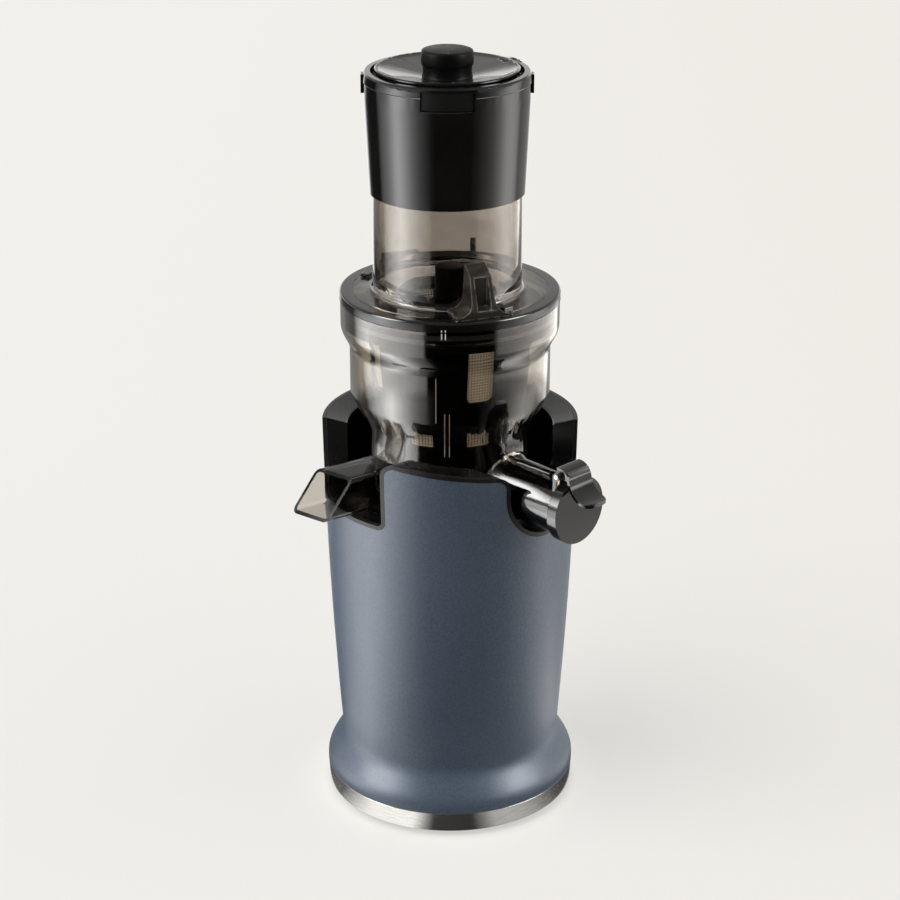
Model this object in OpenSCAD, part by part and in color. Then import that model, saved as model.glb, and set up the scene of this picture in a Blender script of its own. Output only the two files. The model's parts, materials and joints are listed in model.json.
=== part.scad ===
// Vertical cold press juicer: a flared motor base, a clear juicing bowl with a
// juice spout and a pulp chute, and a twist-on lid that carries a wide hopper.
// Z is up, z = 0 is the worktop, the drive axis is the Z axis and -Y is the front.
// Azimuths are counted from the front (-Y) towards +X.

/* [Base] */
// Radius of the steel band at the foot of the juicer
base_r = 82.5; // [80:0.5:90]
// Height of the rubber feet below the band
foot_h = 4; // [3:0.5:8]
// Radius of a rubber foot
foot_r = 6; // [4:0.5:9]
// Distance of the feet from the edge of the base
foot_inset = 13; // [10:0.5:24]
// Height of the steel band
band_h = 13; // [9:0.5:18]
// Thickness of the steel band
band_t = 1.4; // [1:0.1:2.5]
// How far the band draws in at its lower edge
band_taper = 0.9; // [0:0.1:2]
// Thickness of the base plate
plate_t = 3; // [2:0.5:5]

/* [Housing] */
// Height of the housing shell, from the steel band to the top of the rear shroud
shell_h = 245; // [240:1:256]
// Wall of the housing shell
shell_t = 2.4; // [2:0.1:3]
// Height of the flare over the steel band
flare_h = 25; // [18:1:34]
// Height of the straight lip under the flare
lip_h = 3; // [2:0.5:5]
// How far the waist above the flare draws in from the base
waist_in = 10.3; // [8:0.1:11]
// How far the top of the rear shroud draws in from the base
shroud_in = 0.5; // [0:0.1:1]
// Outward bulge of the side between waist and shroud
bulge = 1.7; // [0:0.1:4]
// Width of the black trim along the cut edges of the shell
trim_w = 2.8; // [2:0.1:4]
// Height of the front panel's upper edge at the middle, below the shroud's top
panel_drop = 10.2; // [6:0.1:20]
// Fall of the front panel's upper edge towards the spout, in degrees
panel_slope = 6.8; // [0:0.1:9]
// Radius of the front panel's upper corners
panel_corner_r = 9.5; // [6:0.5:12]

/* [Bowl seat] */
// Depth of the well that the bowl stands in, below the shroud's top
well_depth = 58; // [56:0.5:62]
// Thickness of the deck under the bowl
deck_t = 4; // [3:0.5:6]
// Inner radius of the black collar round the bowl
collar_ir = 66; // [64:0.1:69]
// How far the collar's top falls towards the bowl
collar_fall = 4; // [0:0.5:8]
// Height of the ring on the deck that centres the bowl
seat_ring_h = 1.8; // [1:0.1:2]
// Radius of the drive shaft's clearance hole in the deck
deck_bore_r = 9; // [8.6:0.1:12]

/* [Chute opening] */
// Azimuth of the opening for the pulp chute
chute_gap_az = -52; // [-54:0.5:-50]
// Width of the opening for the pulp chute
chute_gap_w = 56; // [53:0.5:60]
// Height of that opening's sill above the deck
chute_gap_sill = 11.2; // [8:0.1:11.8]
// Radius of the sill's corners
chute_gap_corner_r = 3.5; // [2:0.5:6]

/* [Spout opening] */
// Azimuth of the opening for the juice spout
spout_gap_az = 49; // [48:0.5:51]
// Radius of the round sill of that opening
spout_gap_r = 30; // [29:0.5:31]
// Height of that round sill above the deck
spout_gap_sill = 2; // [1:0.1:4]
// Distance from the drive axis to the front face of the wall beside the chute
chute_wing_d = 1.2; // [0.6:0.1:4]
// Distance from the drive axis to the front face of the wall beside the spout
spout_wing_d = 4.6; // [2:0.1:8]

/* [Bowl] */
// Radius of the lower bowl
bowl_low_r = 54.5; // [53:0.1:55.5]
// Radius of the upper bowl
bowl_up_r = 63.6; // [62:0.1:65]
// Radius of the bowl's rim collar
bowl_rim_r = 69.1; // [67.5:0.1:70]
// Wall of the bowl
bowl_t = 2.4; // [1.8:0.1:3]
// Floor of the bowl
bowl_floor_t = 3; // [2:0.5:4]
// Height of the bowl's lower straight part
bowl_low_h = 58; // [55:0.5:62]
// Height of the taper between the lower and the upper bowl
bowl_taper_h = 20; // [15:0.5:25]
// Height of the upper straight part
bowl_up_h = 29; // [22:0.5:34]
// Height of the shoulder under the rim collar
bowl_shoulder_h = 7; // [5:0.5:10]
// Height of the rim collar
bowl_rim_h = 24.7; // [20:0.1:30]
// Outer radius of the hub round the drive shaft
hub_r = 13; // [12:0.1:14.5]
// Bore of the hub
hub_bore_r = 10.4; // [9.6:0.1:10.8]
// Height of the hub above the bowl's floor
hub_h = 15; // [12:0.5:17]

/* [Juice spout] */
// Azimuth of the juice spout
spout_az = 45; // [44:0.5:46]
// Height of the spout's axis above the bowl's underside
spout_rise = 27.2; // [26.5:0.1:28]
// Outer radius of the spout
spout_r = 18.8; // [17.5:0.1:19.2]
// Wall of the spout
spout_t = 2.2; // [1.5:0.1:3]
// Distance of the spout's mouth from the drive axis
spout_reach = 109.2; // [104:0.1:114]
// Radius of the flare where the spout leaves the bowl
spout_root_r = 25; // [22:0.5:25.5]
// Width of the ring round the spout's mouth
spout_ring_w = 4; // [3:0.5:6]
// How far that ring stands out from the spout
spout_ring_t = 0.9; // [0.6:0.1:1.2]

/* [Juice cap] */
// Wall of the cap's skirt
cap_t = 1.3; // [1:0.1:1.6]
// Depth of the juice cap along the spout
cap_depth = 7.2; // [6.5:0.1:8.5]
// Thickness of the cap's face
cap_face_t = 1.8; // [1.4:0.1:2.4]
// Thickness of the seal inside the cap
cap_seal_t = 1.2; // [0.8:0.1:1.6]
// Play between the cap's skirt and the spout's ring
cap_play = 0.8; // [0.7:0.05:1.1]
// Height of the cap's hinge pin above the spout's axis
cap_pin_rise = 23.2; // [22.9:0.1:25]
// Radius of the cap's hinge pin
cap_pin_r = 1.2; // [0.8:0.1:1.5]
// Width of the cap's thumb lever
lever_w = 20; // [16:0.5:22]
// Thickness of the thumb lever
lever_t = 2; // [1.5:0.1:2.5]
// Outer radius of the lever's upper bend
lever_bend_r = 9.5; // [9:0.1:11]
// Radius of the lever's hollow for the thumb
lever_hollow_r = 14; // [12:0.5:16]

/* [Pulp chute] */
// Azimuth that the pulp chute points to
chute_az = -68; // [-70:0.5:-66]
// Distance of the chute's front wall from the drive axis
chute_front = 30; // [29:0.1:31]
// Outer width of the chute
chute_w = 29; // [27:0.1:31]
// Outer height of the chute
chute_h = 26; // [24:0.1:27]
// Height of the chute's underside at the bowl's wall, above the bowl's underside
chute_rise = 15; // [14.9:0.1:17]
// Fall of the chute away from the bowl, in degrees
chute_fall = 6; // [4:0.5:6]
// Wall of the chute
chute_t = 2; // [1.5:0.1:2.6]
// Corner radius of the chute's section
chute_corner_r = 4; // [2.5:0.5:7]
// Distance of the mouth's nearest corner from the drive axis, along the chute
chute_reach = 76.6; // [74:0.1:82]
// Sideways slant of the mouth, in degrees
mouth_yaw = 20.5; // [0:0.5:26]
// Upward slant of the mouth, in degrees
mouth_pitch = 33; // [0:0.5:36]

/* [Strainer and auger] */
// Radius of the strainer at its top
strainer_top_r = 53; // [51:0.1:55]
// Radius of the strainer at its bottom
strainer_low_r = 40.5; // [39.5:0.1:42]
// Wall of the strainer's frame
strainer_t = 2.4; // [1.8:0.1:3]
// Gap between the strainer and the bowl's floor
strainer_lift = 6; // [4.5:0.5:7.5]
// Gap between the strainer's top and the lid's skirt
strainer_drop = 1.5; // [1:0.5:2.5]
// Number of low windows round the strainer, twice the number of tall ones
window_count = 8; // [6:2:8]
// Width of a tall window
window_up_w = 18; // [12:0.5:20]
// Height of a tall window
window_up_h = 39; // [25:1:39]
// Height of the tall windows' sill above the bowl's underside
window_up_rise = 85; // [80:0.1:85]
// Width of a low window
window_low_w = 15.6; // [10:0.1:18]
// Height of a low window
window_low_h = 9.5; // [6:0.5:12]
// Height of the low windows' sill above the bowl's underside
window_low_rise = 54.7; // [50:0.1:60]
// Thickness of the strainer's mesh
mesh_t = 0.6; // [0.4:0.1:1]
// Radius of the auger's core at its foot
auger_foot_r = 29; // [26:0.5:31]
// Radius of the auger's core at its shoulder
auger_shoulder_r = 15; // [13:0.5:18]
// Radius of the boss on top of the auger
auger_boss_r = 9.5; // [8:0.1:11]
// How far the boss stands above the bowl's rim
auger_boss_rise = 20; // [16:0.5:24]
// Radial gap between the auger's flights and the mesh
flight_gap = 1.2; // [0.8:0.1:2.5]
// Turns of the auger's flight
flight_turns = 1.75; // [1:0.25:2.5]
// Angle that the flight takes up round the core
flight_arc = 24; // [15:1:40]

/* [Lid] */
// Outer radius of the lid's black ring
ring_r = 69.6; // [68:0.1:71]
// Inner radius of the black ring
ring_ir = 61.5; // [58:0.1:63]
// Height of the black ring
ring_h = 6.3; // [5:0.1:8]
// Thickness of the clear lid plate
lid_t = 3; // [2:0.5:4]
// Outer radius of the feed tube
tube_r = 46.6; // [45:0.1:47]
// Wall of the feed tube
tube_t = 2.4; // [1.8:0.1:2.6]
// Sideways offset of the feed tube from the drive axis
tube_dx = -1.6; // [-3:0.1:3]
// Height of the clear tube between lid and hopper
tube_h = 63; // [50:0.5:70]
// Width of the fillet at the tube's foot
foot_fillet = 2.6; // [1.5:0.1:3]
// Radius of the feed opening under the tube
feed_r = 31; // [24:0.5:34]
// Depth of the funnel in the lid
funnel_h = 8; // [6:0.5:9]
// Depth of the lid's skirt inside the bowl
skirt_h = 9; // [8:0.5:10]
// Radial gap between the lid's skirt and the bowl
skirt_gap = 0.5; // [0.4:0.1:1]
// Section of the lid's seal ring
seal_h = 3; // [2:0.5:4]
// Height of the grip on the lid
grip_h = 30; // [25:0.5:36]
// Width of the grip at its foot
grip_w = 35; // [28:0.5:40]
// Width of the grip at its top
grip_top_w = 13; // [9:0.5:18]
// Wall of the grip
grip_t = 2.2; // [1.5:0.1:3]
// Azimuth of the grip on the lid
grip_az = 19; // [0:1:40]

/* [Hopper] */
// Height of the black hopper
hopper_h = 75; // [70:0.5:90]
// Wall of the hopper where it laps over the tube
hopper_lap_t = 1.8; // [1.4:0.1:3]
// How far the hopper widens from its lower edge to its rim
hopper_flare = 2.7; // [2:0.1:5]
// Height of the hopper's straight upper part
hopper_band_h = 16; // [12:0.5:20]
// How far the tube reaches up inside the hopper
tube_lap = 12; // [8:0.5:16]
// Wall of the hopper's rim
rim_t = 4.2; // [3.6:0.1:5]
// Thickness of the hopper lid
hop_lid_t = 2.6; // [2:0.1:3.5]
// Radial gap between the hopper lid and the rim
hop_lid_gap = 2.6; // [1.5:0.1:3]
// How far the hopper lid stands above the rim
hop_lid_rise = 2; // [1:0.1:4]
// How far the hopper lid dips towards its knob
hop_lid_dish = 5.6; // [0:0.1:6.5]
// Azimuth of the hopper lid's hinge
hop_hinge_az = 121; // [110:1:180]
// Radius of the hopper lid's hinge pin
hop_pin_r = 1.2; // [1:0.1:1.5]
// Width of the front latch
latch_w = 31; // [24:0.5:36]
// Height of the front latch
latch_h = 11; // [9:0.5:14]
// Thickness of the front latch
latch_t = 1.4; // [1.2:0.1:1.5]
// How far the front latch sits back from the hopper's face
latch_set = 1; // [0.4:0.1:1]
// Depth to which the front latch can be pressed
latch_travel = 0.8; // [0.5:0.1:0.8]
// Height of a side clip
clip_h = 11.5; // [9:0.5:16]
// Thickness of a side clip
clip_t = 1; // [0.6:0.1:2]

/* [Knob] */
// Radius of the knob's cap
knob_r = 16; // [13:0.1:19]
// Height of the knob's cap
knob_cap_h = 9.3; // [7:0.1:12]
// Radius of the knob's neck
neck_r = 15.6; // [12:0.1:15.8]
// Height of the knob's neck
neck_h = 7; // [5:0.1:10]

/* [Drive] */
// Distance between the drive axis and the layshaft
centre_distance = 36; // [34:0.5:38]
// Teeth of the motor pinion
motor_teeth = 12; // [12:1:12]
// Teeth of the large layshaft gear
lay_teeth = 60; // [60:1:60]
// Teeth of the layshaft pinion
pinion_teeth = 12; // [12:1:12]
// Teeth of the output gear
out_teeth = 36; // [36:1:36]
// Radius of the motor's can
motor_r = 34; // [30:0.5:38]
// Height of the motor's can
motor_h = 80; // [70:1:84]
// Height of the motor's underside above the base plate
motor_rise = 24; // [20:0.5:28]
// Radius of the motor shaft
motor_shaft_r = 4; // [3:0.1:5]
// Radius of the drive shaft
drive_shaft_r = 8; // [7:0.1:8.4]
// Width across the flats of the drive shaft's hexagon
hex_af = 12; // [10:0.1:13]
// Height of the hexagon above the deck
hex_h = 38; // [30:0.5:44]
// Clearance of the hexagon in the auger, per side
hex_gap = 0.15; // [0.1:0.01:0.3]
// Radius of the layshaft
layshaft_r = 5; // [4:0.1:6]

/* [Rear controls] */
// Width of the rear recess
recess_w = 34; // [30:0.5:38]
// Height of the rear recess
recess_h = 62; // [58:0.5:64]
// Width of the rocker's bezel
bezel_w = 25; // [20:0.5:28]
// Height of the rocker's bezel
bezel_h = 30; // [26:0.5:32]
// Width of the power inlet
inlet_w = 25; // [20:0.5:28]
// Height of the power inlet
inlet_h = 20; // [16:0.5:22]

/* [Hidden] */

round_fn = 96;
small_fn = 48;
eps = 0.01;
big = 300;
body_gap = 0.3;      // clearance between pieces on different bodies
pin_gap = 0.06;      // running clearance of hinge pins and shafts
fit_gap = 0.15;      // clearance between fixed pieces that slide together

// Radii that follow the base and the feed tube
waist_r = base_r - waist_in;
shroud_r = base_r - shroud_in;
hopper_low_r = tube_r + hopper_lap_t;
hopper_rim_r = hopper_low_r + hopper_flare;

// Stack of heights, from the worktop up
band_z = foot_h;
shell_z = band_z + band_h;
waist_z = shell_z + lip_h + flare_h;
shroud_z = shell_z + shell_h;
deck_z = shroud_z - well_depth;
bowl_z = deck_z + body_gap;
bowl_in_z = bowl_z + bowl_floor_t;
low_top_z = bowl_z + bowl_low_h;
up_low_z = low_top_z + bowl_taper_h;
up_top_z = up_low_z + bowl_up_h;
rim_low_z = up_top_z + bowl_shoulder_h;
bowl_top_z = rim_low_z + bowl_rim_h;
ring_z = bowl_top_z + body_gap;
ring_top_z = ring_z + ring_h;
hopper_z = ring_top_z + tube_h;
rim_z = hopper_z + hopper_h;
lid_top_z = rim_z + hop_lid_rise;
knob_z = lid_top_z - hop_lid_dish;
knob_top_z = knob_z + neck_h + knob_cap_h;
plate_top_z = band_z + 2 * plate_t;

// Housing
band_flange_w = 3.5;
panel_top_z = shroud_z - panel_drop;
spout_z = bowl_z + spout_rise;
chute_sill_z = deck_z + chute_gap_sill;
spout_gap_z = deck_z + spout_gap_sill + spout_gap_r;
wing_x = 55;
wing_reach = 40;
chute_z = bowl_z + chute_rise;
column_r = 4.5;
column_ring_r = waist_r - shell_t - column_r - 1.5;
column_azimuths = [45, 135, 225, 315];
screw_r = 1.6;
screw_head_r = 3;
screw_head_h = 2;
screw_len = 10;

// Gear train
pressure_angle = 25;
gear_backlash = 0.25;
stage1_module = 2 * centre_distance / (motor_teeth + lay_teeth);
stage2_module = 2 * centre_distance / (pinion_teeth + out_teeth);
motor_z = plate_top_z + motor_rise;
motor_top_z = motor_z + motor_h;
case_z = motor_top_z;
case_floor_t = 3;
stage1_z = case_z + case_floor_t + 1.2;
stage1_h = 9;
stage2_z = stage1_z + stage1_h + 4;
stage2_h = 14;
case_top_z = stage2_z + stage2_h + 2;
case_lid_t = 3;
case_wall = 2.5;
case_drive_r = out_teeth * stage2_module / 2 + 5;
case_lay_r = lay_teeth * stage1_module / 2 + 4.5 - 1;
bearing_h = 8;
bearing_t = 7;
can_t = 2;

// Control board
board_w = 48;
board_h = 84;
board_t = 1.6;
board_y = -waist_r + shell_t + 12;

// Rear controls
pad_t = 4;
recess_z = case_z - pad_t - 1 - recess_h;
recess_y = sqrt(pow(waist_r - 0.6, 2) - pow(recess_w / 2, 2)) - 0.4;
bezel_z = recess_z + recess_h - bezel_h / 2 - 3;
inlet_z = recess_z + inlet_h / 2 + 4;
flange_t = 1.8;
rocker_w = bezel_w - 9;
rocker_r = min(11, bezel_h / 2 - 4 - body_gap);
rocker_tilt = 9;
rocker_front = 7;
rocker_back = 3;
rocker_pin_r = 1.5;
rocker_axis_y = recess_y - 4.5;

// Hinges
cap_face_d = spout_reach + body_gap + cap_seal_t + cap_face_t;
cap_in_r = spout_r + spout_ring_t + cap_play;
cap_pin_d = cap_face_d - cap_depth - 1.3;
ear_t = 2.6;
ear_foot_d = 0.9;
cap_pin_z = spout_z + cap_pin_rise;
hop_pin_d = hopper_rim_r - 2.2;
hop_pin_z = rim_z - 1.4;
hop_arm_w = 10;
hop_arm_r = 2.1;
knuckle_r = 2.4;
rod_r = 2.4;
rod_lateral = 4;
rod_rise = spout_r + 0.4;
gasket_h = 4;
port_w = 20;
port_h = 18;
port_t = 1.8;
port_z = chute_z + 5;
seal_lip = 1.2;
flange_h = 4;

// Strainer, lid, hopper and lever
strainer_z = bowl_in_z + strainer_lift;
strainer_top_z = ring_z - skirt_h - strainer_drop;
mesh_rise = 8;
mesh_drop = 4.5;
hanger_points = [[-26, -12], [26, -12], [-24, 42], [24, 42]];
auger_z = strainer_z + 3;
auger_shoulder_z = strainer_top_z - 22;
auger_top_z = bowl_top_z + auger_boss_rise;
flight_low_r = strainer_low_r - strainer_t - mesh_t - flight_gap;
flight_top_r = strainer_r(auger_shoulder_z - 12) - strainer_t - mesh_t - flight_gap - 3;
lever_turn = 12;
lever_start = 100;
lever_end = 280;
lever_steps = 14;
lever_bend_x = cap_face_d - cap_pin_d - lever_bend_r + 0.6;
lever_tip_d = cap_pin_d + lever_bend_x + (lever_bend_r + lever_hollow_r) * cos(lever_turn)
  + (lever_hollow_r + lever_t) * cos(lever_end);
lever_corner_r = lever_w * 0.38;
skirt_r = bowl_rim_r - bowl_t - skirt_gap;
lid_plate_z = ring_top_z - lid_t;
seal_z = ring_z - skirt_h + 3;
seal_d = 1.2;
skirt_t = 3;
grip_d = 19;
grip_inset = -1;
latch_z = rim_z - 2.6 - latch_h;
latch_r = hopper_rim_r - latch_set;
latch_stem_r = 1;
latch_stem_len = 2.8;
latch_stem_rise = 2.4;
hop_lid_r = hopper_rim_r - rim_t - hop_lid_gap;
rim_seam_drop = 6;

// Radius of the housing's outer surface at height z
function side_r(z) =
  z <= shell_z + lip_h ? base_r :
  z < waist_z ?
    waist_r + (base_r - waist_r) * (1 + cos(180 * (z - shell_z - lip_h) / flare_h)) / 2 :
    let (t = (z - waist_z) / (shroud_z - waist_z))
      waist_r + (shroud_r - waist_r) * t + 4 * bulge * t * (1 - t);

// Outline of the housing wall between two heights, from radius ro to the outer surface
function side_points(z0, z1, inset) =
  let (
    flare_zs = [for (i = [0:10]) shell_z + lip_h + flare_h * i / 10],
    side_zs = [for (i = [1:10]) waist_z + (shroud_z - waist_z) * i / 10],
    inner = [for (z = concat(flare_zs, side_zs)) if (z > z0 + eps && z < z1 - eps) z]
  )
  [for (z = concat([z0], inner, [z1])) [side_r(z) - inset, z]];

function reversed(list) = [for (i = [len(list) - 1:-1:0]) list[i]];

function hex_r(af) = af / 2 / cos(30);

function strainer_r(z) =
  strainer_low_r + (strainer_top_r - strainer_low_r)
    * pow((z - strainer_z) / (strainer_top_z - strainer_z), 0.75);

// Involute of a gear: roll angle in degrees beyond the pitch circle
function involute(r, rb) =
  let (a = acos(rb / r)) tan(a) * 180 / PI - a;

function gear_tooth(teeth, modulus, at) =
  let (
    rp = teeth * modulus / 2,
    rb = rp * cos(pressure_angle),
    ra = rp + 0.95 * modulus,
    rf = rp - 1.25 * modulus,
    half = 90 / teeth - gear_backlash / 2 / rp * 180 / PI,
    start = max(rb, rf) + eps,
    radii = [for (i = [0:3]) start + (ra - start) * i / 3],
    flank = [for (r = radii) [r, half - involute(r, rb) + involute(rp, rb)]],
    side = concat([[rf, flank[0][1]]], flank)
  )
  concat(
    [for (p = side) [p[0] * cos(at - p[1]), p[0] * sin(at - p[1])]],
    [for (p = reversed(side)) [p[0] * cos(at + p[1]), p[0] * sin(at + p[1])]]
  );

module gear(teeth, modulus, h, phase) {
  linear_extrude(h)
    polygon([for (i = [0:teeth - 1]) each gear_tooth(teeth, modulus, phase + 360 * i / teeth)]);
}

module ring(ro, ri, h, fn = round_fn) {
  difference() {
    cylinder(r = ro, h = h, $fn = fn);
    translate([0, 0, -eps])
      cylinder(r = ri, h = h + 2 * eps, $fn = fn);
  }
}

// Children turned to azimuth az, with -Y pointing outwards
module at_azimuth(az) {
  rotate([0, 0, az])
    children();
}

// A 2D outline in x (sideways) and y (height), extruded outwards from distance d0 to d1
module outwards(d0, d1) {
  translate([0, -d0, 0])
    rotate([90, 0, 0])
      linear_extrude(d1 - d0)
        children();
}

// A rectangle with round corners, made of true arcs
module round_rect(w, h, r) {
  translate([-w / 2 + r, 0])
    square([w - 2 * r, h]);
  translate([-w / 2, r])
    square([w, h - 2 * r]);
  for (sx = [-1, 1])
    for (y = [r, h - r])
      translate([sx * (w / 2 - r), y])
        circle(r = r, $fn = small_fn);
}

// Everything that is open in the housing's wall, grown by g into the wall
module wall_openings(g) {
  translate([-big / 2, -big / 2, shroud_z - g])
    cube([big, big, big]);
  at_azimuth(chute_gap_az)
    outwards(40, 120)
      translate([0, chute_sill_z - g])
        round_rect(chute_gap_w + 2 * g, big, chute_gap_corner_r + g);
  at_azimuth(spout_gap_az)
    outwards(40, 120) {
      translate([0, spout_gap_z])
        circle(r = spout_gap_r + g, $fn = round_fn);
      translate([-spout_gap_r - g, spout_gap_z])
        square([2 * (spout_gap_r + g), big]);
    }
  wing_cut(-1, chute_wing_d, chute_sill_z, g);
  wing_cut(1, spout_wing_d, spout_gap_z, g);
  panel_cut(g);
  corner_cut(chute_gap_az, 1, chute_gap_w / 2, g);
  corner_cut(spout_gap_az, -1, spout_gap_r, g);
}

// Squares off the wall behind an opening, so that it ends in a flat face towards the front
module wing_cut(side, d, sill_z, g) {
  translate([side > 0 ? wing_x : -big, -wing_reach, sill_z - g])
    cube([big - wing_x, wing_reach - d + g, big]);
}

// The sloping cut along the top of the front panel
module panel_cut(g) {
  outwards(40, 120)
    translate([0, panel_top_z + trim_w])
      rotate(-panel_slope)
        translate([-panel_reach(), -g])
          square([2 * panel_reach() - 6, big]);
}

function panel_reach() = waist_r * sin(35);

// The round corner between the front panel's top and the side of an opening
module corner_cut(az, side, half_w, g) {
  cx = half_w + panel_corner_r;
  edge_az = az + side * asin(cx / shroud_r);
  top = panel_top_z + trim_w - shroud_r * sin(edge_az) * tan(panel_slope);
  cz = top - panel_corner_r;
  at_azimuth(az)
    outwards(40, 120)
      difference() {
        translate([side > 0 ? cx - panel_corner_r - 4 : -cx, cz])
          square([panel_corner_r + 4, panel_corner_r + 12]);
        translate([side * cx, cz])
          circle(r = panel_corner_r - g, $fn = small_fn);
      }
}

module base_plate() {
  color("#2b2c2e")
    difference() {
      union() {
        translate([0, 0, band_z + plate_t])
          cylinder(r = base_r - band_taper - band_t - 1, h = plate_t, $fn = round_fn);
        for (az = column_azimuths)
          at_azimuth(az)
            translate([0, -column_ring_r, plate_top_z - eps])
              cylinder(r = column_r, h = deck_z - deck_t - plate_top_z + eps, $fn = small_fn);
      }
      for (az = column_azimuths)
        at_azimuth(az)
          translate([0, -column_ring_r, 0]) {
            translate([0, 0, band_z + plate_t - eps])
              cylinder(r = screw_r, h = screw_len, $fn = small_fn);
            translate([0, 0, deck_z - deck_t - screw_len])
              cylinder(r = screw_r, h = screw_len + 1, $fn = small_fn);
          }
      for (az = [0:90:270])
        at_azimuth(az)
          translate([0, foot_inset - base_r, band_z + plate_t - eps])
            cylinder(r = foot_r - 2, h = plate_t + 1, $fn = small_fn);
      for (i = [-3:3])
        translate([i * 7 - 1.5, -18, band_z])
          cube([3, 36, 3 * plate_t]);
    }
}

module base_band() {
  color("#c9cbcc")
    rotate_extrude($fn = round_fn)
      polygon([
        [base_r - band_taper, band_z],
        [base_r, shell_z],
        [base_r - band_t, shell_z],
        [base_r - band_t - band_taper, band_z + plate_t],
        [base_r - band_t - band_taper - band_flange_w, band_z + plate_t],
        [base_r - band_t - band_taper - band_flange_w, band_z]
      ]);
}

module rubber_feet() {
  color("#161616")
    for (az = [0:90:270])
      at_azimuth(az)
        translate([0, foot_inset - base_r, 0]) {
          translate([0, 0, 0])
            cylinder(r = foot_r, h = band_z + plate_t, $fn = small_fn);
          translate([0, 0, band_z + plate_t - eps])
            cylinder(r = foot_r - 2, h = plate_t + eps, $fn = small_fn);
        }
}

// Pan-head screws pointing up from z = 0, group of separate solids
module screw(len) {
  translate([0, 0, -screw_head_h / 2])
    cylinder(r = screw_r, h = len + screw_head_h / 2, $fn = small_fn);
  translate([0, 0, -screw_head_h])
    cylinder(r = screw_head_r, h = screw_head_h, $fn = small_fn);
}

module base_screws() {
  color("#9a9c9e")
    for (az = column_azimuths)
      at_azimuth(az)
        translate([0, -column_ring_r, band_z + plate_t])
          screw(screw_len - 1);
}

module shell_wall(z0, z1, inset) {
  rotate_extrude($fn = round_fn)
    polygon(concat(
      side_points(z0, z1, 0),
      reversed(side_points(z0, z1, inset))
    ));
}

module housing_shell() {
  color("#56657f")
    difference() {
      union() {
        shell_wall(shell_z, shroud_z, shell_t);
        intersection() {
          translate([-recess_w / 2 - pad_t, recess_y - pad_t, recess_z - pad_t])
            cube([recess_w + 2 * pad_t, pad_t + 20, recess_h + 2 * pad_t]);
          rotate_extrude($fn = round_fn)
            polygon(concat(
              side_points(recess_z - 2 * pad_t, recess_z + recess_h + 2 * pad_t, shell_t - 0.5),
              [[0, recess_z + recess_h + 2 * pad_t], [0, recess_z - 2 * pad_t]]
            ));
        }
      }
      wall_openings(trim_w);
      translate([-recess_w / 2, recess_y, recess_z])
        cube([recess_w, 40, recess_h]);
      translate([-bezel_w / 2 + 2, recess_y - 20, bezel_z - bezel_h / 2 + 2])
        cube([bezel_w - 4, 60, bezel_h - 4]);
      translate([-inlet_w / 2 + 2, recess_y - 20, inlet_z - inlet_h / 2 + 2])
        cube([inlet_w - 4, 60, inlet_h - 4]);
    }
}

module housing_trim() {
  color("#1c1d1f")
    difference() {
      intersection() {
        rotate_extrude($fn = round_fn)
          polygon(concat(
            side_points(deck_z - 10, shroud_z, 0),
            reversed(side_points(deck_z - 10, shroud_z, shell_t))
          ));
        wall_openings(trim_w);
      }
      wall_openings(0);
    }
}

module bowl_collar() {
  color("#1f2022")
    difference() {
      rotate_extrude($fn = round_fn)
        polygon(concat(side_points(deck_z, shroud_z, shell_t + fit_gap), [
          [collar_ir + 1, shroud_z - collar_fall + 0.6],
          [collar_ir, shroud_z - collar_fall],
          [collar_ir, deck_z]
        ]));
      wall_openings(0);
    }
}

module deck() {
  color("#232426")
    difference() {
      union() {
        translate([0, 0, deck_z - deck_t])
          cylinder(r = side_r(deck_z - deck_t) - shell_t - 0.1, h = deck_t, $fn = round_fn);
        translate([0, 0, deck_z - deck_t - bearing_h - 1])
          cylinder(r = drive_shaft_r + bearing_t + 3, h = bearing_h + 1 + eps, $fn = round_fn);
        translate([0, 0, deck_z - eps])
          ring(bowl_low_r + body_gap + 3, bowl_low_r + body_gap, seat_ring_h);
      }
      translate([0, 0, deck_z - deck_t - bearing_h - 2])
        cylinder(r = deck_bore_r, h = big, $fn = round_fn);
      translate([0, 0, deck_z - deck_t - bearing_h - 2])
        cylinder(r = drive_shaft_r + bearing_t, h = bearing_h + 2, $fn = round_fn);
      for (az = column_azimuths)
        at_azimuth(az)
          translate([0, -column_ring_r, deck_z - deck_t - 1]) {
            cylinder(r = screw_r + 0.2, h = big, $fn = small_fn);
            translate([0, 0, deck_t + 1 - screw_head_h])
              cylinder(r = screw_head_r + 0.3, h = big, $fn = small_fn);
          }
    }
}

module deck_screws() {
  color("#9a9c9e")
    for (az = column_azimuths)
      at_azimuth(az)
        translate([0, -column_ring_r, deck_z - screw_head_h])
          mirror([0, 0, 1])
            screw(screw_len - 1);
}

// The outline of the gearbox, round the drive axis and the layshaft
module case_outline(inset) {
  circle(r = case_drive_r - inset, $fn = round_fn);
  translate([0, centre_distance])
    circle(r = case_lay_r - inset, $fn = round_fn);
  translate([inset - case_drive_r, 0])
    square([2 * (case_drive_r - inset), centre_distance]);
}

module gearbox_case() {
  color("#8d9094")
    translate([0, 0, case_z])
      difference() {
        linear_extrude(case_top_z - case_z)
          case_outline(0);
        translate([0, 0, case_floor_t])
          linear_extrude(big)
            case_outline(case_wall);
        translate([0, 0, -eps])
          cylinder(r = motor_shaft_r + 5, h = case_floor_t + 1, $fn = small_fn);
        translate([0, centre_distance, -eps])
          cylinder(r = layshaft_r + 2, h = case_floor_t + 1, $fn = small_fn);
      }
}

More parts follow.
